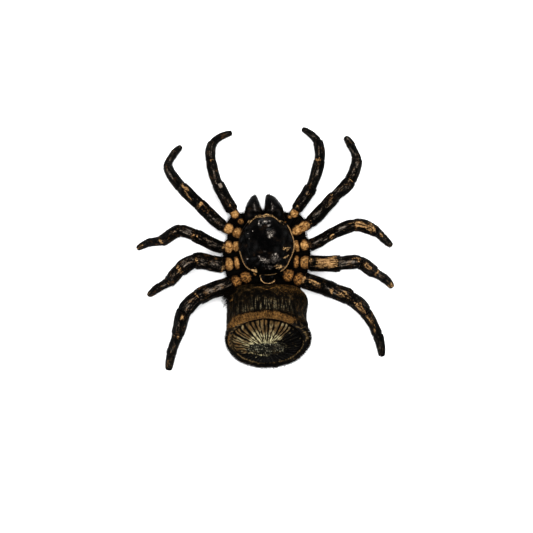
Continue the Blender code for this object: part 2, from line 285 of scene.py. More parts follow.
class Nodes:
    """Short names for building a node material."""

    def __init__(self, name):
        self.material = bpy.data.materials.new(name)
        self.material.use_nodes = True
        self.tree = self.material.node_tree
        self.shader = self.tree.nodes["Principled BSDF"]

    def add(self, kind, **settings):
        node = self.tree.nodes.new(kind)
        for key, value in settings.items():
            setattr(node, key, value)
        return node

    def put(self, socket, value):
        if isinstance(value, bpy.types.NodeSocket):
            self.tree.links.new(value, socket)
        else:
            socket.default_value = value

    def maths(self, operation, a, b):
        node = self.add("ShaderNodeMath", operation=operation)
        self.put(node.inputs[0], a)
        self.put(node.inputs[1], b)
        return node.outputs[0]

    def plus(self, a, b):
        return self.maths("ADD", a, b)

    def times(self, a, b):
        return self.maths("MULTIPLY", a, b)

    def sway(self, value, texture, amount):
        """The value, pushed up and down by a texture."""
        return self.plus(value, self.times(self.maths("SUBTRACT", texture, 0.5), amount))

    def value(self, name):
        return self.add("ShaderNodeAttribute", attribute_name=name).outputs["Fac"]

    def vector(self, name):
        return self.add("ShaderNodeAttribute", attribute_name=name).outputs["Vector"]

    def place(self):
        """The position in millimetres."""
        coordinate = self.add("ShaderNodeTexCoord").outputs["Object"]
        node = self.add("ShaderNodeVectorMath", operation="SCALE")
        self.put(node.inputs[0], coordinate)
        node.inputs["Scale"].default_value = 1000.0
        return node.outputs[0]

    def noise(self, vector, size, detail=3.0, rough=0.55):
        node = self.add("ShaderNodeTexNoise")
        self.put(node.inputs["Vector"], vector)
        node.inputs["Scale"].default_value = 1.0 / size
        node.inputs["Detail"].default_value = detail
        node.inputs["Roughness"].default_value = rough
        return node.outputs["Fac"]

    def cells(self, vector, size, feature="F1"):
        node = self.add("ShaderNodeTexVoronoi", feature=feature)
        self.put(node.inputs["Vector"], vector)
        node.inputs["Scale"].default_value = 1.0 / size
        return node.outputs["Distance"]

    def span(self, value, low, high, to_low=0.0, to_high=1.0):
        node = self.add("ShaderNodeMapRange", interpolation_type="SMOOTHSTEP")
        self.put(node.inputs["Value"], value)
        limits = {"From Min": low, "From Max": high, "To Min": to_low, "To Max": to_high}
        for key, number in limits.items():
            node.inputs[key].default_value = number
        return node.outputs[0]

    def blend(self, share, a, b):
        node = self.add("ShaderNodeMix", data_type="RGBA")
        self.put(node.inputs["Factor"], share)
        self.put(node.inputs["A"], a)
        self.put(node.inputs["B"], b)
        return node.outputs["Result"]

    def relief(self, *layers):
        """Bumps, each (height, strength, distance in millimetres), one over the other."""
        normal = None
        for height, strength, distance in layers:
            node = self.add("ShaderNodeBump")
            self.put(node.inputs["Height"], height)
            node.inputs["Strength"].default_value = strength
            node.inputs["Distance"].default_value = distance * MM
            if normal:
                self.put(node.inputs["Normal"], normal)
            normal = node.outputs[0]
        self.put(self.shader.inputs["Normal"], normal)

    def finish(self, colour, roughness, specular=0.5, ior=1.5):
        self.put(self.shader.inputs["Base Color"], colour)
        self.put(self.shader.inputs["Roughness"], roughness)
        self.shader.inputs["Specular IOR Level"].default_value = specular
        self.shader.inputs["IOR"].default_value = ior
        return self.material


def rgb(r, g, b):
    return (r, g, b, 1.0)


def leg_material():
    """Near-black shell with lengthwise streaks, light stripes that are partly bald skin and partly
    painted highlight, and tan worn patches.
    """
    n = Nodes("leg_cuticle")
    flow, place = n.vector("flow"), n.place()
    streak = n.noise(flow, 0.36, 4.0, 0.72)
    fine = n.noise(place, 0.26, 3.0, 0.65)
    broad = n.noise(place, 1.5, 2.0)
    pits = n.cells(place, 0.30)
    dark = rgb(0.0003, 0.0003, 0.0002), rgb(0.0018, 0.0014, 0.0011)
    dark = n.blend(n.span(streak, 0.45, 0.70), *dark)
    grit = n.plus(n.times(streak, 0.60), n.times(fine, 0.40))
    # Grey along the streaks and the top: bald skin, and painted highlight where the light falls.
    lit = n.plus(grit, n.times(n.value("bald_and_highlight"), 0.135))
    grey = n.blend(n.span(broad, 0.40, 0.64), rgb(0.112, 0.092, 0.073), rgb(0.090, 0.056, 0.031))
    dark = n.blend(n.span(lit, 0.580, 0.67), dark, grey)
    rust = n.plus(n.times(broad, 0.6), n.times(fine, 0.5))
    rust = n.times(n.span(rust, 0.65, 0.74), n.value("top"))
    dark = n.blend(rust, dark, rgb(0.060, 0.031, 0.013))
    tan = n.blend(n.span(fine, 0.38, 0.62), rgb(0.085, 0.041, 0.015), rgb(0.34, 0.195, 0.080))
    tan = n.blend(n.span(streak, 0.52, 0.44), tan, rgb(0.010, 0.005, 0.002))
    edge = n.sway(n.value("wear"), streak, 1.3)
    edge = n.sway(edge, fine, 0.9)
    share = n.span(edge, 0.40, 0.58)
    colour = n.blend(share, dark, tan)
    rough = n.plus(n.span(broad, 0.3, 0.7, 0.34, 0.50), n.times(share, 0.16))
    n.relief((streak, 1.0, 0.20), (pits, 0.3, 0.04), (fine, 0.6, 0.08))
    return n.finish(colour, rough, 0.18, 1.11)


def hip_material():
    """Black leathery hips with a worn tan cap on each, browner where the value says."""
    n = Nodes("hip_cuticle")
    place = n.place()
    broad = n.noise(place, 0.9, 3.0)
    fine = n.noise(place, 0.34, 4.0, 0.68)
    pits = n.cells(place, 0.46)
    cracks = n.cells(place, 0.85, "DISTANCE_TO_EDGE")
    light = n.blend(n.span(broad, 0.38, 0.60), rgb(0.125, 0.054, 0.014), rgb(0.300, 0.158, 0.052))
    # The brightest tan specks are painted highlights.
    light = n.blend(n.span(fine, 0.56, 0.66), light, rgb(0.49, 0.280, 0.112))
    light = n.blend(n.span(fine, 0.47, 0.36), light, rgb(0.032, 0.014, 0.004))
    # Pits and cracks painted near-black: painted shade in the hollows.
    pit_shade = n.times(n.span(pits, 0.27, 0.17), n.span(broad, 0.60, 0.46))
    light = n.blend(pit_shade, light, rgb(0.004, 0.002, 0.001))
    seam = n.times(n.span(cracks, 0.10, 0.03), n.span(fine, 0.44, 0.54))
    light = n.blend(seam, light, rgb(0.014, 0.006, 0.002))
    brown = n.blend(n.span(fine, 0.44, 0.60), rgb(0.008, 0.003, 0.001), rgb(0.19, 0.084, 0.022))
    colour = n.blend(n.span(n.value("brown"), 0.0, 1.0), light, brown)
    border = n.span(n.value("cap"), 0.86, 0.50, 0.0, 0.85)
    colour = n.blend(border, colour, rgb(0.045, 0.019, 0.006))
    cap = n.sway(n.value("cap"), fine, 1.4)
    colour = n.blend(n.span(cap, 0.44, 0.62), rgb(0.0004, 0.0003, 0.0003), colour)
    n.relief((broad, 0.4, 0.20), (fine, 0.8, 0.10), (pits, 0.5, 0.05))
    return n.finish(colour, n.span(fine, 0.3, 0.7, 0.45, 0.65), 0.22, 1.13)


def shield_material():
    """Polished black shell with grey patches of dirt and painted glints, and a tan rim."""
    n = Nodes("shield_cuticle")
    place = n.place()
    fine = n.noise(place, 0.26, 4.0, 0.66)
    broad = n.noise(place, 1.4, 3.0)
    grains = n.cells(place, 0.20)
    black = rgb(0.0003, 0.0003, 0.0003), rgb(0.0009, 0.0007, 0.0006)
    black = n.blend(n.span(broad, 0.40, 0.72), *black)
    rust = n.times(n.span(broad, 0.56, 0.70), n.span(fine, 0.50, 0.64))
    black = n.blend(rust, black, rgb(0.014, 0.007, 0.003))
    # Grey patches: dust, and painted glints and highlights where the light catches the shell.
    dust_and_glint = n.sway(n.value("dust_and_glint"), fine, 1.7)
    dust_and_glint_colour = n.blend(n.span(dust_and_glint, 0.62, 1.05), rgb(0.016, 0.013, 0.011), rgb(0.31, 0.275, 0.235))
    colour = n.blend(n.span(dust_and_glint, 0.40, 0.66), black, dust_and_glint_colour)
    tan = n.blend(n.span(fine, 0.36, 0.62), rgb(0.065, 0.028, 0.010), rgb(0.40, 0.245, 0.105))
    edge = n.sway(n.value("wear"), fine, 1.1)
    share = n.span(edge, 0.42, 0.62)
    colour = n.blend(share, colour, tan)
    rough = n.plus(n.span(broad, 0.3, 0.7, 0.20, 0.36), n.times(share, 0.25))
    rough = n.plus(rough, n.times(n.span(dust_and_glint, 0.45, 0.8), 0.30))
    n.relief((broad, 0.25, 0.12), (grains, 0.16, 0.02), (fine, 0.22, 0.03))
    return n.finish(colour, rough, 0.17, 1.18)


def abdomen_material():
    """Olive-brown skin, a felted orange-brown rim band, and olive-gold ribs on a black disc, with
    painted light and shade on the ribs, the disc and the wrinkles.
    """
    n = Nodes("abdomen_skin")
    place = n.place()
    fine = n.noise(place, 0.26, 4.0, 0.68)
    broad = n.noise(place, 1.3, 3.0)
    streak = n.noise(n.vector("flow"), 0.30, 3.0, 0.66)
    grains = n.cells(place, 0.36)
    skin = rgb(0.0008, 0.0006, 0.0004), rgb(0.0028, 0.0019, 0.0009)
    skin = n.blend(n.span(broad, 0.40, 0.66), *skin)
    tone = n.plus(n.times(broad, 0.5), n.times(fine, 0.5))
    skin = n.blend(n.span(tone, 0.53, 0.63), skin, rgb(0.040, 0.023, 0.0085))
    # Painted light and shade on the back's wrinkles: darker folds as painted shade, grey lines on
    # the crests as painted highlight.
    pleats = n.noise(n.vector("flow"), 0.27, 1.0, 0.4)
    folds = n.times(n.value("ridge"), n.span(pleats, 0.56, 0.46))
    skin = n.blend(folds, skin, rgb(0.0008, 0.0007, 0.0005))
    lines = n.times(n.value("ridge"), n.span(pleats, 0.56, 0.66))
    lines = n.times(lines, n.span(fine, 0.44, 0.56))
    skin = n.blend(lines, skin, rgb(0.095, 0.078, 0.044))
    fuzz = n.blend(n.span(fine, 0.42, 0.60), rgb(0.005, 0.002, 0.001), rgb(0.150, 0.074, 0.020))
    band = n.sway(n.value("band"), fine, 1.5)
    skin = n.blend(n.span(band, 0.44, 0.68), skin, fuzz)
    rib = n.sway(n.value("rib"), streak, 2.2)
    rib = n.sway(rib, fine, 0.8)
    # The ribs' gold, painted brighter towards the disc's middle as painted light.
    gold = n.blend(n.value("painted_rib_light"), rgb(0.066, 0.037, 0.013), rgb(0.33, 0.295, 0.165))
    gold = n.blend(n.span(streak, 0.58, 0.42), gold, rgb(0.026, 0.017, 0.007))
    # Near-black: rib grooves, painted shadow in the groove inside the rim and painted shade on the
    # disc's unlit side.
    black = n.sway(n.value("black"), fine, 0.6)
    skin = n.blend(n.span(black, 0.36, 0.62), skin, rgb(0.0006, 0.0005, 0.0004))
    skin = n.blend(n.span(rib, 0.40, 0.62), skin, gold)
    plate = n.blend(n.span(fine, 0.52, 0.62), rgb(0.0008, 0.0008, 0.0006), rgb(0.032, 0.031, 0.019))
    skin = n.blend(n.value("speck"), skin, plate)
    # Bright grains on the plate: painted glints, brighter on the lit side.
    speck = n.times(n.value("speck"), n.span(grains, 0.30, 0.20))
    speck = n.times(speck, n.span(broad, 0.40, 0.50))
    skin = n.blend(speck, skin, rgb(0.30, 0.28, 0.19))
    n.relief((streak, 0.6, 0.14), (grains, 0.35, 0.06), (fine, 0.7, 0.10))
    return n.finish(skin, n.span(fine, 0.3, 0.7, 0.50, 0.70), 0.18, 1.11)


# Colours of hair at its darkest and lightest.
DARK_HAIR = (rgb(0.0004, 0.0003, 0.0002), rgb(0.0028, 0.0018, 0.0011))
TAN_HAIR = (rgb(0.014, 0.006, 0.002), rgb(0.27, 0.135, 0.040))


def hair_material(name, root, tip):
    n = Nodes(name)
    streak = n.noise(n.place(), 0.5, 2.0)
    shade = n.sway(n.value("shade"), streak, 0.8)
    colour = n.blend(n.span(shade, 0.0, 1.0), root, tip)
    return n.finish(colour, n.span(streak, 0.3, 0.7, 0.45, 0.65), 0.18, 1.11)


def flank_material():
    """Black folded skin of the flanks."""
    n = Nodes("flank_skin")
    fine = n.noise(n.place(), 0.30, 4.0)
    black = rgb(0.0004, 0.0003, 0.0002), rgb(0.0014, 0.0010, 0.0007)
    colour = n.blend(n.span(fine, 0.4, 0.7), *black)
    n.relief((fine, 0.6, 0.08))
    return n.finish(colour, n.span(fine, 0.3, 0.7, 0.55, 0.75), 0.20, 1.12)


def eye_material():
    """Dark glossy lenses, a little cloudy."""
    n = Nodes("eye_lens")
    cloud = n.noise(n.place(), 0.2, 2.0)
    colour = n.blend(n.span(cloud, 0.3, 0.7), rgb(0.004, 0.004, 0.004), rgb(0.05, 0.045, 0.040))
    return n.finish(colour, 0.10, 0.6)


def skin_material():
    """Tan folded skin between the segments."""
    n = Nodes("joint_skin")
    place = n.place()
    fine = n.noise(place, 0.18, 4.0)
    broad = n.noise(place, 0.9, 2.0)
    colour = n.blend(n.span(fine, 0.36, 0.62), rgb(0.10, 0.045, 0.016), rgb(0.46, 0.265, 0.10))
    colour = n.blend(n.span(broad, 0.56, 0.40), colour, rgb(0.035, 0.017, 0.008))
    n.relief((fine, 0.5, 0.06))
    return n.finish(colour, n.span(fine, 0.3, 0.7, 0.5, 0.7), 0.30, 1.25)


# ---------------------------------------------------------------- limbs

# The marks on each segment: middle and half length as shares of the segment, then middle and half
# width across it as shares of its radius (left of its heading is positive), and strength.
WORN = {
    "palp_left": {
        "femur": ((0.2, 0.1, 0.02, 0.16, 0.55), (0.9, 0.1, -0.3, 0.32, 0.24)),
        "patella": ((0.97, 0.05, -0.25, 0.34, 0.7),),
        "tibia": ((0.04, 0.05, -0.25, 0.34, 0.7),),
    },
    "palp_right": {
        "femur": ((0.78, 0.07, -0.1, 0.5, 0.42), (0.16, 0.12, 0.1, 0.2, 0.32)),
        "patella": ((0.08, 0.14, 0.25, 0.5, 0.3), (0.98, 0.05, 0.15, 0.4, 0.8)),
        "tibia": ((0.04, 0.07, 0.15, 0.4, 0.9),),
    },
    "leg_1_left": {
        "femur": ((0.96, 0.05, 0.05, 0.7, 0.6), (0.76, 0.14, -0.15, 0.26, 0.35)),
        "patella": ((0.45, 0.32, 0.22, 0.22, 0.48), (0.78, 0.24, -0.22, 0.26, 0.52)),
        "tibia": ((0.04, 0.1, -0.3, 0.26, 0.45),),
    },
    "leg_1_right": {
        "femur": ((0.1, 0.12, 0.0, 0.5, 0.3), (0.97, 0.05, 0.45, 0.4, 0.42)),
        "patella": ((0.97, 0.05, 0.0, 0.6, 0.55),),
        "tibia": ((0.93, 0.08, -0.1, 0.3, 0.26),),
    },
    "leg_2_left": {
        "femur": (
            (0.05, 0.06, -0.1, 0.6, 0.48),
            (0.93, 0.05, 0.05, 0.34, 0.55),
            (0.78, 0.05, 0.0, 0.22, 0.3),
        ),
        "patella": ((0.16, 0.08, 0.1, 0.28, 0.5), (0.8, 0.25, -0.25, 0.35, 0.26)),
        "tibia": ((0.2, 0.25, -0.3, 0.3, 0.22), (0.92, 0.09, -0.1, 0.62, 0.6)),
        "tarsus": ((0.6, 0.45, 0.0, 0.8, 0.34),),
    },
    "leg_2_right": {
        "femur": ((0.84, 0.07, -0.35, 0.36, 0.7),),
        "patella": ((0.78, 0.2, 0.35, 0.22, 0.42),),
        "tibia": ((0.4, 0.44, 0.1, 0.84, 0.52), (0.12, 0.12, 0.2, 0.6, 0.58)),
        "metatarsus": ((0.38, 0.14, 0.05, 0.42, 0.8),),
        "tarsus": ((0.95, 0.2, 0.0, 0.8, 0.3),),
    },
    "leg_3_left": {
        "femur": (
            (0.08, 0.09, 0.2, 0.56, 0.45),
            (0.97, 0.035, 0.0, 0.85, 0.38),
            (0.7, 0.22, -0.35, 0.1, 0.4),
        ),
        "patella": ((0.92, 0.1, -0.1, 0.62, 0.58),),
        "tibia": ((0.05, 0.07, 0.15, 0.34, 0.5), (0.97, 0.07, 0.05, 0.6, 0.55)),
        "metatarsus": ((0.45, 0.45, -0.2, 0.16, 0.3),),
        "tarsus": ((0.75, 0.35, 0.0, 0.9, 0.4),),
    },
    "leg_3_right": {
        "femur": ((0.64, 0.36, 0.08, 0.74, 0.72), (0.08, 0.08, 0.45, 0.45, 0.45)),
        "patella": ((0.8, 0.25, 0.3, 0.3, 0.45),),
        "tibia": ((0.35, 0.36, 0.12, 0.56, 0.42), (0.96, 0.06, 0.1, 0.66, 0.62)),
        "metatarsus": ((0.06, 0.12, 0.1, 0.66, 0.62),),
        "tarsus": ((0.7, 0.4, 0.0, 0.9, 0.46),),
    },
    "leg_4_left": {
        "patella": ((0.05, 0.06, -0.25, 0.36, 0.52),),
        "tibia": ((0.2, 0.1, 0.08, 0.34, 0.55), (0.97, 0.07, -0.1, 0.8, 0.46)),
        "metatarsus": ((0.1, 0.1, 0.1, 0.7, 0.36), (0.65, 0.3, 0.0, 0.4, 0.22)),
        "tarsus": ((0.6, 0.5, 0.0, 0.8, 0.28),),
    },
    "leg_4_right": {
        "femur": (
            (0.06, 0.07, 0.1, 0.7, 0.55),
            (0.38, 0.34, 0.28, 0.3, 0.5),
            (0.95, 0.06, -0.15, 0.55, 0.5),
        ),
        "patella": ((0.55, 0.45, 0.12, 0.42, 0.42),),
        "tibia": ((0.55, 0.48, -0.12, 0.5, 0.44),),
        "metatarsus": ((0.45, 0.45, -0.05, 0.42, 0.42),),
    },
}
# Light marks, in the same columns: bald skin, and painted highlights on the tops of the segments.
BALD_AND_HIGHLIGHT = {
    "palp_left": {
        "femur": ((0.92, 0.08, -0.3, 0.36, 1.7),),
        "tibia": ((0.5, 0.4, 0.0, 0.22, 0.5),),
    },
    "palp_right": {
        "femur": ((0.78, 0.07, 0.0, 0.5, 0.8),),
    },
    "leg_1_left": {
        "femur": ((0.35, 0.4, 0.0, 0.3, 0.7),),
        "tibia": ((0.5, 0.5, 0.1, 0.25, 0.7),),
    },
    "leg_1_right": {
        "femur": ((0.55, 0.5, 0.1, 0.45, 0.5),),
        "tibia": ((0.5, 0.5, 0.0, 0.35, 0.6),),
    },
    "leg_2_left": {
        "femur": ((0.4, 0.4, -0.1, 0.4, 0.6),),
        "patella": ((0.6, 0.5, -0.1, 0.5, 0.7),),
    },
    "leg_2_right": {
        "femur": ((0.4, 0.4, 0.0, 0.5, 0.6),),
        "patella": ((0.4, 0.4, 0.1, 0.5, 0.6),),
    },
    "leg_3_left": {
        "femur": ((0.55, 0.35, 0.0, 0.5, 0.6),),
        "patella": ((0.4, 0.4, -0.2, 0.5, 0.7),),
    },
    "leg_3_right": {
        "patella": ((0.4, 0.4, 0.0, 0.5, 0.8),),
        "metatarsus": ((0.5, 0.4, 0.0, 0.4, 0.6),),
    },
    "leg_4_left": {
        "femur": ((0.52, 0.34, -0.1, 0.42, 1.0),),
        "patella": ((0.6, 0.4, -0.1, 0.4, 0.7),),
    },
    "leg_4_right": {
        "femur": ((0.6, 0.4, 0.1, 0.3, 0.6),),
        "patella": ((0.3, 0.3, 0.2, 0.5, 0.7),),
    },
}
# Each hip's tan caps: middle and half length along it, middle and half width across it, and how
# brown it is.
CAPS = {
    "palp_left": {
        "coxa": ((0.62, 0.2, -0.1, 0.6, 0.95),),
        "trochanter": ((0.52, 0.46, 0.0, 0.92, 0.1),),
    },
    "palp_right": {
        "coxa": ((0.32, 0.18, 0.5, 0.4, 0.9), (0.9, 0.14, 0.4, 0.5, 0.7)),
        "trochanter": ((0.52, 0.44, 0.0, 0.9, 0.2),),
    },
    "leg_1_left": {
        "coxa": ((0.7, 0.3, 0.1, 0.98, 0.22),),
        "trochanter": ((0.5, 0.46, 0.0, 0.95, 0.05),),
    },
    "leg_1_right": {
        "coxa": ((0.8, 0.36, -0.1, 0.85, 0.05),),
        "trochanter": ((0.34, 0.62, -0.1, 0.86, 0.05),),
    },
    "leg_2_left": {
        "coxa": ((0.78, 0.27, -0.2, 0.92, 0.3),),
        "trochanter": ((0.46, 0.44, 0.0, 0.98, 0.05),),
    },
    "leg_2_right": {
        "coxa": ((0.76, 0.17, 0.0, 1.1, 0.25),),
        "trochanter": ((0.54, 0.44, 0.0, 0.82, 0.1),),
    },
    "leg_3_left": {
        "coxa": ((0.74, 0.17, 0.0, 1.1, 0.5),),
        "trochanter": ((0.46, 0.4, 0.0, 1.02, 0.2),),
    },
    "leg_3_right": {
        "coxa": ((0.72, 0.17, 0.0, 1.1, 0.75),),
        "trochanter": ((0.54, 0.5, 0.1, 1.0, 0.65),),
    },
    "leg_4_left": {
        "coxa": ((0.62, 0.3, 0.1, 0.92, 0.85), (0.06, 0.1, 0.4, 0.4, 0.2)),
        "trochanter": ((0.46, 0.42, 0.0, 0.9, 1.0),),
    },
    "leg_4_right": {
        "coxa": ((0.6, 0.31, 0.0, 0.95, 0.9),),
        "trochanter": ((0.52, 0.44, 0.0, 0.9, 0.85),),
    },
}
OUTLINE = {
    "coxa": ((0, 0.80), (0.10, 0.94), (0.3, 1.02), (0.65, 1.06), (0.9, 0.96), (1, 0.84)),
    "trochanter": ((0, 0.80), (0.12, 0.96), (0.40, 1.10), (0.68, 1.08), (0.9, 0.94), (1, 0.78)),
    "femur": (
        (0, 0.84), (0.05, 0.96), (0.12, 0.97), (0.35, 0.98),
        (0.62, 0.95), (0.86, 1.00), (0.95, 0.94), (1, 0.80),
    ),
    "patella": (
        (0, 0.80), (0.07, 0.92), (0.2, 0.94), (0.55, 1.00), (0.84, 1.00), (0.95, 0.92), (1, 0.78),
    ),
    "tibia": (
        (0, 0.80), (0.08, 0.95), (0.25, 0.98), (0.5, 1.00), (0.80, 0.94), (0.94, 0.90), (1, 0.74),
    ),
    "metatarsus": ((0, 0.74), (0.08, 0.92), (0.3, 0.90), (0.7, 0.82), (0.92, 0.84), (1, 0.70)),
    "tarsus": (
        (0, 0.72), (0.08, 0.90), (0.35, 0.92), (0.7, 0.80), (0.9, 0.64), (0.97, 0.48), (1, 0.16),
    ),
}
COLUMNS = 48


def node_arrays(node):
    mesh = NODES[node].data
    verts = np.empty(len(mesh.vertices) * 3)
    mesh.vertices.foreach_get("co", verts)
    mesh.calc_loop_triangles()
    tris = np.empty(len(mesh.loop_triangles) * 3, np.int32)
    mesh.loop_triangles.foreach_get("vertices", tris)
    return verts.reshape(-1, 3) / MM, tris.reshape(-1, 3)


def flat_ends(node, near):
    """The centres of a CAD tube's flat ends, the one closer to near first, and its vertices."""
    verts, tris = node_arrays(node)
    middle = verts.mean(0)
    axis = np.linalg.svd(verts - middle, full_matrices=False)[2][0]
    corners = verts[tris]
    normals = np.cross(corners[:, 1] - corners[:, 0], corners[:, 2] - corners[:, 0])
    areas = np.linalg.norm(normals, axis=1)
    normals = normals / areas[:, None]
    middles = corners.mean(1)
    ends = []
    for sign in (-1, 1):
        reach = (middles - middle) @ axis * sign
        facing = (normals @ axis * sign > 0.6) & (reach > 0.7 * reach.max())
        same = normals[facing] @ normals[facing].T > 0.9995
        best = same[np.argmax(same @ areas[facing])]
        ends.append(np.average(middles[facing][best], axis=0, weights=areas[facing][best]))
    ends.sort(key=lambda end: np.linalg.norm(end - near))
    return ends[0], ends[1], verts


def waist(verts, start, end, share):
    """The middle of a CAD tube's ring at a share of the way from start to end."""
    along = (verts - start) @ unit(end - start) / np.linalg.norm(end - start)
    return verts[np.abs(along - share) < 0.05].mean(0)


def thickness(verts, path):
    """The largest distance of a CAD tube's vertices from its path, measured level."""
    best = np.full(len(verts), np.inf)
    for a, b in zip(path, path[1:]):
        ahead = b - a
        share = np.clip((verts - a) @ ahead / (ahead @ ahead), 0, 1)
        best = np.minimum(best, np.linalg.norm(verts - a - share[:, None] * ahead, axis=1))
    return np.percentile(best, 90)


def limb_segments(limb):
    """Each segment of a limb: name, start, end and radius, from the body outwards."""
    foot = "tarsus" if limb.startswith("palp") else "foot"
    nodes = [f"{limb}_{part}" for part in ("coxa", "femur", "patella", "tibia", foot)]
    near = body_middle()
    ends = []
    for node in nodes:
        start, end, verts = flat_ends(node, near)
        ends.append((start, end, verts))
        near = end
    joints = [ends[0][0]]
    joints += [(a[1] + b[0]) / 2 for a, b in zip(ends, ends[1:])]
    joints.append(ends[-1][1])
    hip = waist(ends[0][2], ends[0][0], ends[0][1], 0.63)
    radii = [thickness(e[2], [e[0], e[1]]) for e in ends]
    radii[0] = thickness(ends[0][2], [ends[0][0], hip, ends[0][1]])
    found = [("coxa", joints[0], hip, radii[0]), ("trochanter", hip, joints[1], radii[0])]
    for i, part in enumerate(("femur", "patella", "tibia"), 1):
        found.append((part, joints[i], joints[i + 1], radii[i]))
    if foot == "foot":
        ankle = waist(ends[4][2], ends[4][0], ends[4][1], 0.57)
        radius = thickness(ends[4][2], [ends[4][0], ankle, ends[4][1]])
        found.append(("metatarsus", joints[4], ankle, radius))
        found.append(("tarsus", ankle, joints[5], radius * 0.86))
    else:
        found.append(("tarsus", joints[4], joints[5], radii[4]))
    return found


def body_middle():
    low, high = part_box("carapace")
    return np.array((low + high) / 2) / MM


def marks(table, segment, t, across, upper):
    total = np.zeros_like(t * across)
    for t0, half, c0, width, strength in table.get(segment, ()):
        spot = plateau(t, t0, half) * plateau(across, c0, width) * strength
        total = np.maximum(total, spot * upper)
    return total


def cap_marks(limb, segment, t, across):
    """How much of each tan cap covers a place, and how brown it is there."""
    cover, brown = np.zeros_like(t * across), np.zeros_like(t * across)
    for t0, half, c0, width, shade in CAPS[limb].get(segment, ()):
        reach = ((t - t0) / (half * 1.06)) ** 2 + ((across - c0) / (width * 1.06)) ** 2
        spot = np.exp(-(reach**2) * 0.85)
        cover = np.maximum(cover, spot)
        brown = np.where(spot > 0.3, shade, brown)
    return cover, brown


def turned(direction, axis):
    """The direction mirrored about the axis, so that an arc leaves as it came in."""
    return 2 * (direction @ axis) * axis - direction


def arc(start, end, way_in, way_out, t):
    """A bowed path from start to end that leaves and arrives along the given ways."""
    length = np.linalg.norm(end - start)
    return hermite(start, end, way_in * length * 0.92, way_out * length * 0.92, t[:, None])


def segment_rings(limb, segments, i, seed):
    """The rings of a segment's surface and the values on it."""
    name, start, end, radius = segments[i]
    chord = unit(end - start)
    length = np.linalg.norm(end - start)
    last = i + 1 == len(segments)
    way_in = unit(unit(segments[i - 1][2] - segments[i - 1][1]) + chord) if i else chord
    if last:
        way_out = unit(turned(way_in, chord) + chord * 0.25)
    else:
        way_out = unit(chord + unit(segments[i + 1][2] - segments[i + 1][1]))
    rows = int(np.clip(length * 9, 28, 64))
    steps = np.linspace(0, 1, rows)
    t = mix(steps, 0.5 - 0.5 * np.cos(math.pi * steps), 0.55)
    inside = 0.28 / length if i else 0.0
    beyond = 0.0 if last else 0.05 / length
    s = mix(-inside, 1 + beyond, t)
    centre = arc(start, end, way_in, way_out, np.clip(s, 0, 1))
    centre += way_in * (np.minimum(s, 0) * length)[:, None]
    centre += way_out * (np.maximum(s - 1, 0) * length)[:, None]
    ahead = unit(np.gradient(centre, axis=0))
    side, up = level_frame(ahead)
    turn = circle(COLUMNS) - math.pi / 2
    cos, sin = np.cos(turn)[None], np.sin(turn)[None]
    outline = curve(OUTLINE[name], t)[:, None]
    tt = t[:, None]
    along = s[:, None] * length
    flow = points(radius * cos, radius * sin, (along + 20 * seed) / 5.0)
    hip = name in ("coxa", "trochanter")
    swell = np.ones((rows, COLUMNS))
    across = np.broadcast_to(-cos, (rows, COLUMNS))
    if hip:
        cover, brown = cap_marks(limb, name, tt, across)
        swell += 0.10 * cover * smooth(0.0, 0.6, sin)
        if limb == "leg_1_right":
            swell += 0.20 * (smooth(0.70, 1.0, tt) if name == "coxa" else smooth(0.30, 0.0, tt))
        folds = flow * [1, 1, 5]
        swell += 0.09 * layered(folds, 1.0, seed) + 0.04 * layered(folds, 0.4, seed + 3)
    else:
        window = plateau(tt, 0.5, 0.42)
        swell += 0.10 * noise(flow * [1, 1, 2], 1.4, seed) + 0.055 * layered(flow, 0.42, seed + 5)
        swell += 0.035 * layered(flow * [1, 1, 3], 0.5, seed + 6)
        for offset in (-0.55, 0.55):
            swell -= 0.055 * bump(cos, offset, 0.16) * (sin > 0) * window
        swell += 0.035 * bump(cos, 0.0, 0.14) * (sin > 0) * window
        swell += 0.030 * bump(tt, 0.950, 0.022) - 0.035 * bump(tt, 0.900, 0.022)
        swell += 0.030 * bump(tt, 0.075, 0.02)
        if name in ("femur", "patella"):
            swell += 0.05 * sin * bump(tt, 0.55, 0.35)
    size = radius * outline * swell
    rings = (
        centre[:, None]
        + side[:, None] * (cos * size)[..., None]
        + up[:, None] * (sin * size * 1.04)[..., None]
    )
    keep_off_ground(rings)
    upper = smooth(-0.1, 0.35, sin)
    values = {"flow": flow}
    if hip:
        values["cap"] = 0.92 * cover * smooth(-0.30, 0.15, sin) - 0.04
        values["brown"] = brown + 0.22 * noise(rings, 1.0, seed + 8)
    else:
        ragged_t = tt + 0.05 * noise(flow * [1, 1, 4], 0.7, seed + 11) / max(length / 6, 0.5)
        ragged_c = across + 0.26 * noise(flow * [1, 1, 4], 0.8, seed + 12)
        values["wear"] = marks(WORN[limb], name, ragged_t, ragged_c, upper)
        # Painted highlight: a light stripe along the top middle of each segment, where the light
        # falls.
        middle = 0.42 * bump(across, 0.08, 0.42) * smooth(0.0, 0.6, sin) * plateau(tt, 0.5, 0.5)
        values["bald_and_highlight"] = np.maximum(middle, marks(BALD_AND_HIGHLIGHT[limb], name, tt, across, upper))
        values["top"] = smooth(0.05, 0.5, sin) + 0 * tt
    return rings, values


def joint_sleeve(surface, point, direction, radius, seed):
    """A short folded sleeve of skin around a joint."""
    rows, columns = 9, 28
    t = np.linspace(-1, 1, rows)
    side, up = level_frame(direction)
    turn = circle(columns)
    cos, sin = np.cos(turn)[None], np.sin(turn)[None]
    size = radius * (0.88 - 0.10 * t[:, None] ** 2 + 0.03 * np.cos(9 * t[:, None]))
    centre = point + direction * (t * radius * 0.34)[:, None]
    rings = (
        centre[:, None]
        + side * (cos * size)[..., None]
        + up * (sin * size * 1.03)[..., None]
    )
    rings += 0.03 * noise(rings, 0.35, seed)[..., None] * unit(rings - centre[:, None])
    keep_off_ground(rings, 0.02)
    surface.tube(rings)


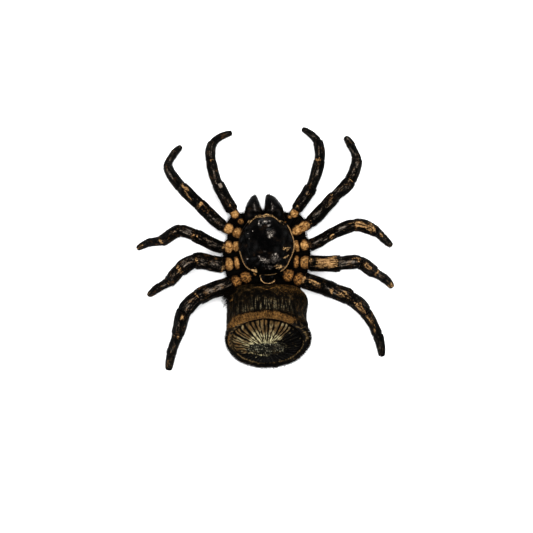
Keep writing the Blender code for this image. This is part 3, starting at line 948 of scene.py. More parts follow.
def tarsal_claws(surface, centre, ahead, radius):
    """Two small curved claws at the end of a foot."""
    side, up = level_frame(ahead)
    for sign in (-1, 1):
        steps = np.linspace(0, 1, 9)[:, None]
        path = (
            centre
            - ahead * 0.16
            + side * sign * radius * 0.16
            + ahead * (0.38 * np.sin(steps * 1.4))
            + up * (0.04 - 0.24 * steps**2)
            + side * sign * 0.10 * steps
        )
        turn = circle(8)[None, :, None]
        size = (0.075 * (1 - 0.85 * steps))[:, :, None]
        rings = path[:, None] + (side * np.cos(turn) + up * np.sin(turn)) * size
        keep_off_ground(rings)
        surface.tube(rings)


def on_grid(rings, rows, columns):
    """Points on a surface at fractional rows and columns of its rings."""
    row, column = rows.astype(int), columns.astype(int)
    nxt = (column + 1) % rings.shape[1]
    a, b = (rows - row)[:, None], (columns - column)[:, None]
    near = mix(rings[row, column], rings[row, nxt], b)
    far = mix(rings[row + 1, column], rings[row + 1, nxt], b)
    return mix(near, far, a)


HAIR_DENSITY = {"coxa": 5.0, "trochanter": 3.0, "femur": 4.0, "patella": 4.0, "tibia": 6.0}


def limb_hairs(surface, name, rings, segment, rng):
    _, start, end, radius = segment
    area = 2 * math.pi * radius * np.linalg.norm(end - start)
    count = int(area * HAIR_DENSITY.get(name, 8.0))
    rows = rng.uniform(0.10, 0.95, count) * (rings.shape[0] - 2)
    columns = rng.uniform(0, rings.shape[1], count)
    root = on_grid(rings, rows, columns)
    middles = rings.mean(1)
    ahead = unit(np.gradient(middles, axis=0))[rows.astype(int)]
    out = unit(root - middles[rows.astype(int)])
    lie = rng.uniform(0.10, 0.50, count)[:, None]
    hip = name in ("coxa", "trochanter")
    if hip:
        keep = out[:, 2] < 0.45
        lie = lie + 0.5
    else:
        keep = rng.uniform(0, 1, count) < np.where(out[:, 2] > 0.5, 0.45, 1.0)
    direction = ahead * (1 - lie * 0.5) + out * lie + rng.normal(0, 0.14, (count, 3))
    length = rng.uniform(0.20, 0.60, count) * (0.75 + 0.25 * radius)
    radii = rng.uniform(*HAIR_RADIUS, count)
    add_hairs(surface, root, direction, length, radii, ahead * 0.35 - out * 0.25, keep=keep)


def build_limb(limb, number, materials):
    segments = limb_segments(limb)
    foot = "tarsus" if limb.startswith("palp") else "foot"
    groups = {"coxa": "coxa", "trochanter": "coxa", "femur": "femur", "patella": "patella"}
    groups.update({"tibia": "tibia", "metatarsus": foot, "tarsus": foot})
    surfaces, hairs = {}, Surface()
    rng = np.random.default_rng(500 + number)
    for i, segment in enumerate(segments):
        rings, values = segment_rings(limb, segments, i, 31 * number + 7 * i + 1)
        surfaces.setdefault(groups[segment[0]], Surface()).tube(rings, values)
        limb_hairs(hairs, segment[0], rings, segment, rng)
    for part, surface in surfaces.items():
        hip = part == "coxa"
        material = materials["hip"] if hip else materials["leg"]
        slot = "cuticle_tan" if hip else "cuticle_black"
        surface.piece(f"{limb}_{part}_shell", material, slot, [f"{limb}_{part}"])
    skin = Surface()
    for i in range(1, len(segments)):
        before = unit(segments[i - 1][2] - segments[i - 1][1])
        after = unit(segments[i][2] - segments[i][1])
        share = 0.80 if i == len(segments) - 1 else 0.92
        radius = min(segments[i - 1][3], segments[i][3]) * share
        joint_sleeve(skin, segments[i][1], unit(before + after), radius, 13 * number + i)
    skin.piece(f"{limb}_joint_skin", materials["skin"], "cuticle_tan")
    claws = Surface()
    middles = rings.mean(1)
    tarsal_claws(claws, middles[-1], unit(middles[-1] - middles[-4]), segments[-1][3])
    claws.piece(f"{limb}_claws", materials["shield"], "cuticle_gloss")
    hairs.piece(f"{limb}_hairs", materials["hair_dark"], "cuticle_black")
    return segments


# How far the body under the shield reaches, as a share of the shield's half size.
CORE_INSET = 0.84


def build_pleura(limbs, materials):
    """Dark folded skin that closes the body's flanks between the hips, with short hair on it."""
    low, high, middle, half = box_mm("carapace")
    ends = {limb: (segments[1][2], segments[1][3]) for limb, segments in limbs.items()}
    knots = []
    names = ["palp", "leg_1", "leg_2", "leg_3", "leg_4"]
    for side in ("right", "left"):
        line = [ends[f"{name}_{side}"][0] for name in names]
        web = [(a + b) / 2 for a, b in zip(line, line[1:])]
        web = [mix(middle, point, 0.86 if i == 1 else 0.98) for i, point in enumerate(web)]
        front = line[0] + np.array([-math.copysign(2.4, line[0][0] - middle[0]), -1.0, 0])
        rear = line[-1] + np.array([-math.copysign(1.2, line[-1][0] - middle[0]), -2.2, 0])
        knots += [front, *web, rear] if side == "right" else [rear, *web[::-1], front]
    knots.append(np.array([middle[0] + 0.3, high[1] + 0.45, 0.0]))
    knots = np.array(knots)
    angle = np.unwrap(np.arctan2(knots[:, 1] - middle[1], knots[:, 0] - middle[0]))
    reach = np.hypot(knots[:, 0] - middle[0], knots[:, 1] - middle[1])
    order = np.argsort(angle % (2 * math.pi))
    angle, reach = (angle % (2 * math.pi))[order], reach[order]
    columns, rows = 300, 26
    turn = circle(columns)
    wide = np.concatenate([angle - 2 * math.pi, angle, angle + 2 * math.pi])
    edge = np.interp(turn, wide, np.tile(reach, 3))
    soft = np.exp(-0.5 * (np.arange(-9, 10) / 4.0) ** 2)
    edge = np.convolve(np.tile(edge, 3), soft / soft.sum(), "same")[columns : 2 * columns]
    rings = []
    for v in np.linspace(0, math.pi, rows):
        spread = 0.02 + 0.98 * math.sin(v) ** 0.55
        lift = 1.85 + 0.72 * math.cos(v)
        x = middle[0] + edge * spread * np.cos(turn)
        y = middle[1] + edge * spread * np.sin(turn)
        rings.append(np.stack([x, y, np.full(columns, float(lift))], -1))
    rings = np.array(rings)
    waves = 0.22 * layered(rings, 1.3, 301)
    rings[..., 2] += waves * np.sin(np.linspace(0, math.pi, rows))[:, None]
    # The body between that skin and the shield, set in from the shield's edge.
    half = half * CORE_INSET
    core = []
    for v in np.linspace(0, math.pi, 14):
        spread = 0.02 + 0.98 * math.sin(v) ** 0.3
        x = middle[0] + half[0] * spread * np.cos(turn)
        y = middle[1] + half[1] * spread * np.sin(turn)
        core.append(np.stack([x, y, np.full(columns, low[2] - 0.85 + 1.20 * math.cos(v))], -1))
    cover = Surface()
    cover.tube(rings[::-1])
    cover.tube(np.array(core)[::-1])
    cover.piece("body_flank_skin", materials["flank"], "cuticle_black")
    rng = np.random.default_rng(330)
    count = 4400
    rows_at = np.sqrt(rng.uniform(0.05, 0.62, count)) * (rows - 2)
    columns_at = rng.uniform(0, columns, count)
    root = on_grid(rings, rows_at, columns_at)
    out = unit(root - middle + np.array([0, 0, 4.5]))
    direction = out * [1, 1, 0.4] + np.array([0, 0, 0.25]) + rng.normal(0, 0.28, (count, 3))
    hairs = Surface()
    length = rng.uniform(0.35, 0.95, count)
    radii = rng.uniform(0.014, 0.024, count)
    add_hairs(hairs, root, direction, length, radii, [0.0, 0.0, -0.3])
    hairs.piece("body_flank_hairs", materials["hair_dark"], "cuticle_black")


# ---------------------------------------------------------------- shield over the front body


# How far the shield's front edge reaches past its ellipse, at angles from its right: two lobes
# with a notch between them.
FRONT_EDGE = (
    (40, 0.99), (50, 0.965), (58, 0.96), (68, 1.02), (75, 1.042), (82, 1.055), (90, 1.035),
    (98, 0.968), (104, 1.03), (110, 1.068), (120, 1.066), (126, 1.045), (132, 1.0),
    (140, 0.985), (150, 1.0),
)
# Marks on the shield from its middle: place, half sizes and strength.
SHIELD_WORN = (
    (4.4, -0.75, 1.15, 0.55, 0.47),
    (4.2, -2.6, 0.8, 0.36, 0.5),
    (3.0, -4.7, 1.5, 0.8, 0.46),
    (-2.75, -5.6, 0.8, 0.48, 0.66),
    (3.8, 4.6, 0.5, 0.5, 0.4),
)
# Grey spots: the fovea's patches, partly dust and partly painted highlight, then painted glints on
# small bumps, on the left side and on the eye mound.
SHIELD_DUST_AND_GLINTS = (
    (-0.95, -3.05, 1.2, 0.75, 0.72),
    (-0.1, -3.75, 1.0, 0.6, 0.66),
    (0.7, -4.75, 1.5, 0.45, 0.56),
    (1.65, -2.95, 1.4, 1.15, 0.62),
    (2.05, -1.95, 0.34, 0.26, 0.9),
    (-0.3, -1.45, 0.4, 0.2, 0.6),
    (-4.1, -3.05, 0.4, 0.15, 0.85),
    (-3.0, 3.05, 0.15, 0.12, 0.95),
    (-4.05, 2.5, 0.22, 0.12, 0.75),
    (-3.75, 1.4, 0.22, 0.14, 0.75),
    (-1.6, 4.7, 0.24, 0.45, 0.85),
    (-0.2, 5.15, 0.65, 0.28, 0.8),
    (0.45, 4.2, 0.34, 0.26, 0.85),
    (0.6, -5.1, 1.3, 0.22, 0.45),
)
# The eyes from the middle of their mound: place and radius.
EYES = (
    (-0.36, 0.1, 0.22),
    (0.36, 0.1, 0.22),
    (-1.12, 0.42, 0.26),
    (1.12, 0.42, 0.26),
    (-1.2, -0.36, 0.21),
    (1.2, -0.36, 0.21),
    (-0.74, -0.42, 0.15),
    (0.74, -0.42, 0.15),
)
# The rings that close it underneath, as shares of its outline.
UNDERSIDE = (0.90, 0.75, 0.5, 0.25, 0.02)


def build_shield(materials):
    low, high, middle, half = box_mm("carapace")
    base, top = low[2], high[2]
    columns, rows = 288, 110
    turn = circle(columns)[None]
    share = (np.linspace(0, 1, rows) ** 0.85)[:, None]
    share[0] = 0.004
    cos, sin = np.cos(turn), np.sin(turn)
    degrees = np.degrees(turn) % 360
    front = plateau(degrees, 92.0, 52.0)
    corners = 0.012 * np.cos(8 * turn + 0.4) + 0.006 * np.sin(5 * turn + 1.0)
    rear = -0.035 * bump(turn, 3 * math.pi / 2, 0.22)
    reach = mix(1 + corners + rear, curve(FRONT_EDGE, np.clip(degrees, 40, 150)), front)
    inward = 1 + (reach - 1) * share**3
    x = share * inward * half[0] * cos
    y = share * inward * half[1] * sin
    s = np.broadcast_to(share, x.shape)
    rise = top - base - 0.55 - 0.25
    dome = rise * np.maximum(0.0, 1 - s**2.3) ** 0.62
    # The raised head, bounded by grooves that run from the fovea out towards the front corners.
    head_half = 3.3 + 0.42 * np.clip(y + 2.2, 0, 9) * 0.55
    head = smooth(1.12, 0.72, np.abs(x + 0.05) / head_half) * smooth(-2.8, -0.2, y)
    z = dome + 0.42 * head * (1 - s**5)
    groove = bump(np.abs(x + 0.05) / head_half, 1.06, 0.07)
    groove = groove * smooth(-3.0, -1.2, y) * smooth(1.0, 0.75, s)
    z -= 0.13 * groove
    # The fovea: a deep pit curved like a smile, its ends towards the front.
    bend = y - (-4.35 + 0.34 * (x - 0.7) ** 2)
    fovea = bump(bend, 0.0, 0.30) * plateau(x, 0.7, 1.7)
    hollow = bump(x, 0.7, 2.2) * bump(y, -3.4, 1.10)
    z -= 0.75 * fovea + 0.40 * hollow
    # Grooves that radiate from the fovea to the hips.
    for angle in (0.10, 0.62, 1.10, math.pi - 0.10, math.pi - 0.62, math.pi - 1.10):
        fx, fy = x, y + 2.4
        away = np.hypot(fx, fy)
        ahead = math.cos(angle) * fx - math.sin(angle) * fy
        off = math.sin(angle) * fx + math.cos(angle) * fy
        ray = bump(off, 0.0, 0.20 + 0.05 * away) * (ahead > 0)
        ray = ray * smooth(0.9, 2.2, away) * smooth(1.0, 0.82, s)
        z -= 0.07 * ray
    place = points(x, y, z * 0.5)
    z += 0.10 * noise(place, 1.7, 3) * (1 - s**6) + 0.035 * layered(place, 0.55, 5) * (1 - s**8)
    rough = smooth(0.1, 0.6, bump(x, 0.4, 2.2) * bump(y, -3.1, 1.35))
    z += 0.09 * rough * layered(place, 0.42, 21)
    # The eye mound near the front edge.
    ex, ey = -0.42, half[1] - 2.1
    mound = plateau(x, ex, 1.45) * plateau(y, ey, 0.80)
    z += 0.42 * mound * smooth(1.0, 0.9, s)
    z = np.maximum(z, 0.0)
    # The rolled rim.
    z += 0.16 * bump(s, 0.965, 0.018) - 0.10 * bump(s, 0.925, 0.02)
    rim_z = base + 0.55
    upper = np.stack([middle[0] + x, middle[1] + y, rim_z + z], -1)

    def outline(scale, height):
        across, along = reach * half[0] * cos * scale, reach * half[1] * sin * scale
        return points(middle[0] + across, middle[1] + along, height)[0]

    edge_rows = []
    for angle in np.linspace(0.15, 1.0, 7)[:, None]:
        lean = angle * math.pi / 2
        out = 1.0 + 0.012 * np.sin(lean * 2) - 0.045 * (1 - np.cos(lean))
        edge_rows.append(outline(out, rim_z - 0.53 * np.sin(lean)))
    under = [outline(inner, base + 0.02) for inner in UNDERSIDE]
    rings = np.concatenate([upper, np.array(edge_rows), np.array(under)])
    tail = len(rings) - rows
    lower = np.where(degrees > 270, degrees - 360, degrees)
    arcs = smooth(-64, -54, lower) * smooth(44, 36, lower)
    arcs = arcs + 0.80 * smooth(188, 194, degrees) * smooth(238, 230, degrees)
    arcs = arcs + 0.55 * smooth(262, 268, degrees) * smooth(298, 290, degrees)
    wear = 0.90 * bump(s, 0.985, 0.024) * (0.12 + arcs)
    front_edge = smooth(0.87, 0.91, s) * smooth(44, 58, degrees) * smooth(142, 128, degrees)
    seam = np.maximum(smooth(0.955, 0.980, s), bump(s, 0.895, 0.012))
    wear = np.maximum(wear, (0.46 + 0.20 * seam) * front_edge)
    torn_x = x + 0.55 * noise(place, 0.8, 25) + 0.25 * noise(place, 0.35, 26)
    torn_y = y + 0.40 * noise(place, 0.8, 27) + 0.20 * noise(place, 0.35, 28)

    def spot(cx, cy, rx, ry):
        return np.exp(-((((torn_x - cx) / rx) ** 2 + ((torn_y - cy) / ry) ** 2) ** 2))

    for cx, cy, rx, ry, strength in SHIELD_WORN:
        wear = np.maximum(wear, strength * spot(cx, cy, rx, ry))
    # A grey wedge on the head's front slope: dust, and the painted highlight of the light that
    # falls there.
    wedge = (mix(y, torn_y, 0.6) - 1.25) / 2.1
    width = 0.25 + 1.35 * np.clip(wedge, 0, 1)
    patch = plateau(wedge, 0.52, 0.58) * plateau(mix(x, torn_x, 0.6), 0.80 + 0.15 * wedge, width)
    dust_and_glint = 0.66 * patch
    for cx, cy, rx, ry, strength in SHIELD_DUST_AND_GLINTS:
        torn = rx > 0.7
        shape = spot(cx, cy, rx, ry) if torn else plateau(x, cx, rx) * plateau(y, cy, ry)
        dust_and_glint = np.maximum(dust_and_glint, strength * shape)
    values = {
        "wear": np.concatenate([wear, np.full((tail, columns), 0.0)]),
        "dust_and_glint": np.concatenate([dust_and_glint, np.full((tail, columns), 0.1)]),
    }
    values["wear"][rows : rows + 5] = 0.42 * (0.2 + arcs)
    shield = Surface()
    shield.tube(rings[::-1], {k: v[::-1] for k, v in values.items()})
    shield.piece("carapace_shell", materials["shield"], "cuticle_gloss", ["carapace"])

    def height(px, py):
        gap = (x - px) ** 2 + (y - py) ** 2
        return upper[..., 2].ravel()[np.argmin(gap)]

    eyes = Surface()
    for ox, oy, radius in EYES:
        px, py = ex + ox, ey + oy
        pz = height(px, py)
        lean = np.linspace(math.pi * 0.5, -0.45, 12)[:, None]
        around = circle(20)[None]
        flat = radius * np.maximum(np.cos(lean), 0.02)
        rings = points(
            middle[0] + px + flat * np.cos(around),
            middle[1] + py + flat * np.sin(around),
            pz + radius * 0.55 * np.sin(lean),
        )
        eyes.tube(rings[::-1])
    eyes.piece("carapace_eyes", materials["eye"], "cuticle_gloss")


def superring(centre, side, up, half_width, half_height, columns, power=2.0):
    turn = circle(columns)
    c, s = np.cos(turn), np.sin(turn)
    c = np.sign(c) * np.abs(c) ** (2 / power)
    s = np.sign(s) * np.abs(s) ** (2 / power)
    return centre + np.outer(c, side) * half_width + np.outer(s, up) * half_height


# Each jaw's half width along it, from its base to its tip.
JAW_WIDTH = {
    "left": (
        (0, 2.05), (0.15, 1.92), (0.30, 1.72), (0.50, 1.42),
        (0.75, 0.95), (0.90, 0.62), (0.97, 0.38), (1, 0.10),
    ),
    "right": (
        (0, 2.22), (0.18, 2.10), (0.36, 1.92), (0.60, 1.54),
        (0.80, 1.14), (0.93, 0.74), (0.98, 0.44), (1, 0.12),
    ),
}
# Its height along it, as a share of the most.
JAW_HEIGHT = (
    (-0.42, 0.52), (-0.1, 0.70), (0.10, 0.92), (0.28, 1.0),
    (0.6, 0.80), (0.85, 0.48), (0.97, 0.22), (1, 0.05),
)


def jaw_bow(t, sign):
    """How far a jaw's middle line bows away from its neighbour."""
    bow = 0.24 * smooth(0.0, 0.4, t) * smooth(1.04, 0.88, t)
    return sign * (bow + (0.55 * np.maximum(t, 0) * (1 - np.maximum(t, 0)) if sign > 0 else 0.0))


def build_jaws(materials):
    for name, sign in (("left", -1), ("right", 1)):
        low, high, _, half = box_mm(f"chelicera_{name}")
        verts, _ = node_arrays(f"chelicera_{name}")
        tip = verts[verts[:, 1] > high[1] - 0.05].mean(0)
        base = verts[verts[:, 1] < low[1] + 0.05].mean(0)
        inner = -0.28 if sign > 0 else 0.12
        tip = tip + np.array([inner, 0, 0])
        rows, columns = 72, 64
        t = np.linspace(-0.42, 1, rows)
        size = curve(JAW_WIDTH[name], np.maximum(t, 0)) * (1 + 0.35 * np.minimum(t, 0))
        height = half[2] * curve(JAW_HEIGHT, t)
        rings = []
        for i in range(rows):
            centre = mix(base, tip, t[i])
            centre = centre + np.array([jaw_bow(t[i], sign), 0, -0.45 * smooth(0.25, -0.3, t[i])])
            rings.append(superring(centre, ACROSS, UP, size[i], height[i], columns, 2.15))
        rings = np.array(rings)
        turn = circle(columns)[None]
        place = points(np.cos(turn) * 1.6, np.sin(turn) * 1.6, t[:, None] * 1.1 + 9 * sign)
        centre = rings.mean(1, keepdims=True)
        out = unit(rings - centre)
        ridge = 0.06 * layered(place, 0.7, 40 + sign) + 0.05 * noise(place, 1.2, 44 + sign)
        ridge = ridge - 0.08 * bump(np.cos(turn) * sign, -0.25, 0.12) * (np.sin(turn) > 0)
        rings = rings + out * (ridge * smooth(1.0, 0.85, t)[:, None])[..., None]
        # A grey strip along the top of each jaw: painted highlight along its ridge.
        dust_and_glint = 0.64 * bump(np.cos(turn), -0.12 * sign, 0.24) * (np.sin(turn) > 0.2)
        dust_and_glint = dust_and_glint * plateau(t[:, None], 0.30, 0.34)
        jaw = Surface()
        bare = np.zeros((rows, columns))
        jaw.tube(rings, {"wear": bare, "dust_and_glint": dust_and_glint + bare})
        # Short digging spines on the front end.
        rng = np.random.default_rng(60 + sign)
        for _ in range(9):
            at = mix(base, tip, rng.uniform(0.86, 0.97))
            root = at + np.array([rng.uniform(-0.35, 0.35), 0.0, -0.10 + rng.uniform(-0.15, 0.1)])
            steps = np.linspace(0, 1, 6)[:, None]
            path = root + steps * np.array([0.02 * sign, 0.42, -0.30])
            thick = 0.11 * (1 - 0.8 * steps[:, 0])
            ring = [superring(p, ACROSS, UP, r, r, 8) for p, r in zip(path, thick)]
            jaw.tube(np.array(ring), {"wear": np.zeros((6, 8)), "dust_and_glint": np.zeros((6, 8))})
        node = f"chelicera_{name}"
        jaw.piece(f"{node}_shell", materials["shield"], "cuticle_gloss", [node])
        build_fang(name, materials)
        build_jaw_hairs(name, sign, base, tip, half[2], materials)


def build_fang(name, materials):
    verts, _ = node_arrays(f"fang_{name}")
    low, high = verts.min(0), verts.max(0)
    root = np.array([(low[0] + high[0]) / 2, high[1] - 0.45, high[2] - 0.30])
    tip = np.array([(low[0] + high[0]) / 2, low[1] + 0.02, low[2] + 0.22])
    bend = np.array([root[0], mix(root[1], tip[1], 0.30), tip[2] - 0.02])
    t = np.linspace(0, 1, 26)[:, None]
    path = root * (1 - t) ** 2 + bend * 2 * t * (1 - t) + tip * t**2
    ahead = unit(np.gradient(path, axis=0))
    radius = curve(((0, 0.40), (0.12, 0.50), (0.4, 0.40), (0.75, 0.22), (1, 0.03)), t[:, 0])
    rings = np.array(
        [
            superring(p, ACROSS, np.cross(ACROSS, a), r * 0.85, r, 24)
            for p, a, r in zip(path, ahead, radius)
        ]
    )
    fang = Surface()
    fang.tube(rings, {"wear": np.zeros((26, 24)), "dust_and_glint": np.zeros((26, 24))})
    fang.piece(f"fang_{name}_shell", materials["shield"], "cuticle_gloss", [f"fang_{name}"])


def build_jaw_hairs(name, sign, base, tip, half_h, materials):
    rng = np.random.default_rng(80 + sign)
    count = 620
    t = rng.uniform(0.02, 0.86, count)
    turn = rng.uniform(0, 2 * math.pi, count)
    size = curve(JAW_WIDTH[name], t)
    tall = half_h * np.interp(t, [0, 0.3, 0.6, 0.85, 1.0], [0.85, 0.98, 0.78, 0.46, 0.1])
    out = np.stack([np.cos(turn), np.zeros(count), np.sin(turn)], -1)
    root = mix(base, tip, t[:, None]) + out * np.stack([size, 0 * size, tall], -1) * 0.97
    root[:, 0] += jaw_bow(t, sign)
    top = np.sin(turn) > 0.2
    direction = out * 0.22 + np.array([0, 0.9, -0.12]) + rng.normal(0, 0.12, (count, 3))
    length = np.where(top, rng.uniform(0.12, 0.25, count), rng.uniform(0.25, 0.55, count))
    hairs = Surface()
    add_hairs(hairs, root, direction, length, rng.uniform(*HAIR_RADIUS, count), [0.0, 0.1, -0.4])
    hairs.piece(f"chelicera_{name}_hairs", materials["hair_dark"], "cuticle_gloss")


def build_sternum(materials):
    low, high, middle, half = box_mm("sternum")
    columns, rows = 120, 40
    turn = circle(columns)[None]
    reach = 1 + 0.045 * np.cos(8 * turn + math.pi) - 0.04 * bump(turn, math.pi / 2, 0.25)
    share = np.linspace(0.01, 1, rows)[:, None]
    x = share * half[0] * np.cos(turn) * reach
    y = share * half[1] * np.sin(turn) * reach
    z = low[2] + 0.03 + (half[2] * 1.1) * share**4 + 0 * x
    place = np.stack([x, y, z], -1)
    z = z + 0.05 * layered(place, 0.7, 71) * (1 - share**4)
    for sy in (-0.45, 0.0, 0.42):
        for sx in (-1, 1):
            z = z + 0.10 * bump(x, sx * half[0] * 0.62, 0.22) * bump(y, sy * half[1], 0.34)
    z = z + 0.14 * bump(y, half[1] * 0.74, 0.16) * plateau(x, 0.0, 1.3)
    lower = np.stack([middle[0] + x, middle[1] + y, np.maximum(z, low[2])], -1)
    upper = np.stack([middle[0] + x, middle[1] + y, np.full_like(x, high[2]) - 0.25 * share**6], -1)
    rings = np.concatenate([lower, upper[::-1]])
    plate = Surface()
    zero = np.zeros(rings.shape[:2])
    values = {"wear": zero + 0.10, "bald_and_highlight": zero + 0.2, "top": zero}
    values["flow"] = np.concatenate([place, place])
    plate.tube(rings, values)
    plate.piece("sternum_plate", materials["leg"], "cuticle_black", ["sternum"])
    rng = np.random.default_rng(90)
    count = 900
    share = np.sqrt(rng.uniform(0, 0.9, count))
    turn = rng.uniform(0, 2 * math.pi, count)
    root = np.stack(
        [
            middle[0] + share * half[0] * np.cos(turn),
            middle[1] + share * half[1] * np.sin(turn),
            low[2] + 0.06 + half[2] * 1.1 * share**4,
        ],
        -1,
    )
    direction = [0.0, 0.5, -0.6] + rng.normal(0, 0.2, (count, 3))
    hairs = Surface()
    length = rng.uniform(0.25, 0.6, count)
    add_hairs(hairs, root, direction, length, rng.uniform(*HAIR_RADIUS, count), [0.0, 0.6, 0.1])
    hairs.piece("sternum_hairs", materials["hair_dark"], "cuticle_black")


def build_pedicel(materials):
    low, high, middle, half = box_mm("pedicel")
    rows, columns = 34, 72
    t = np.linspace(0, 1, rows)
    turn = circle(columns)
    rings = []
    for s in t:
        centre = np.array([middle[0], mix(high[1] + 0.35, low[1] - 0.35, s), middle[2]])
        width = half[0] * (0.92 + 0.10 * math.cos(2 * math.pi * s))
        height = half[2] * (1.05 + 0.05 * math.cos(6 * math.pi * s))
        rings.append(superring(centre, ACROSS, UP, width, height, columns, 2.4))
    rings = np.array(rings)
    place = rings.copy()
    out = unit(rings - rings.mean(1, keepdims=True))
    rings = rings + out * (0.06 * layered(place, 0.5, 95))[..., None]
    bow_x, bow_y = rings[..., 0] - middle[0] - 0.2, rings[..., 1] - high[1] + 0.35
    bow = np.hypot(bow_x / 1.80, bow_y / 1.75)
    wear = 0.80 * bump(bow, 1.0, 0.09) * (np.sin(turn)[None] > 0.1) * (rings[..., 1] < high[1])
    plug = Surface()
    plug.tube(rings, {"wear": wear, "dust_and_glint": np.zeros_like(wear)})
    plug.piece("pedicel_plug", materials["shield"], "cuticle_gloss", ["pedicel"])


# ---------------------------------------------------------------- abdomen

# The barrel's sections, measured from the front end of the belly: back (y, z), belly (y, z) and
# half width.
BARREL = (
    ((0.0, 4.3), (0.0, 2.3), 1.6),
    ((-0.2, 7.0), (-0.7, 0.8), 6.0),
    ((-1.3, 9.4), (-2.7, -0.3), 8.0),
    ((-2.9, 11.4), (-5.9, -0.6), 8.7),
    ((-4.5, 13.1), (-9.9, -0.4), 8.85),
    ((-5.5, 14.25), (-14.3, 1.5), 8.85),
)
LEAN = math.radians(41)
NORMAL = np.array([0.0, -math.cos(LEAN), math.sin(LEAN)])
RISE = np.array([0.0, math.sin(LEAN), math.cos(LEAN)])
RIM_RADIUS = 9.25
DISC_RADIUS = 7.9
# The disc's middle from the front end of the belly, the height on it where the ribs meet, and
# how many ribs go round it.
DISC_CENTRE = np.array([0.0, -12.4, 7.7])
HUB = -1.55
RIB_COUNT = 44


def abdomen_origin():
    _, high, middle, _ = box_mm("abdomen")
    return np.array([middle[0], high[1], 0.0])


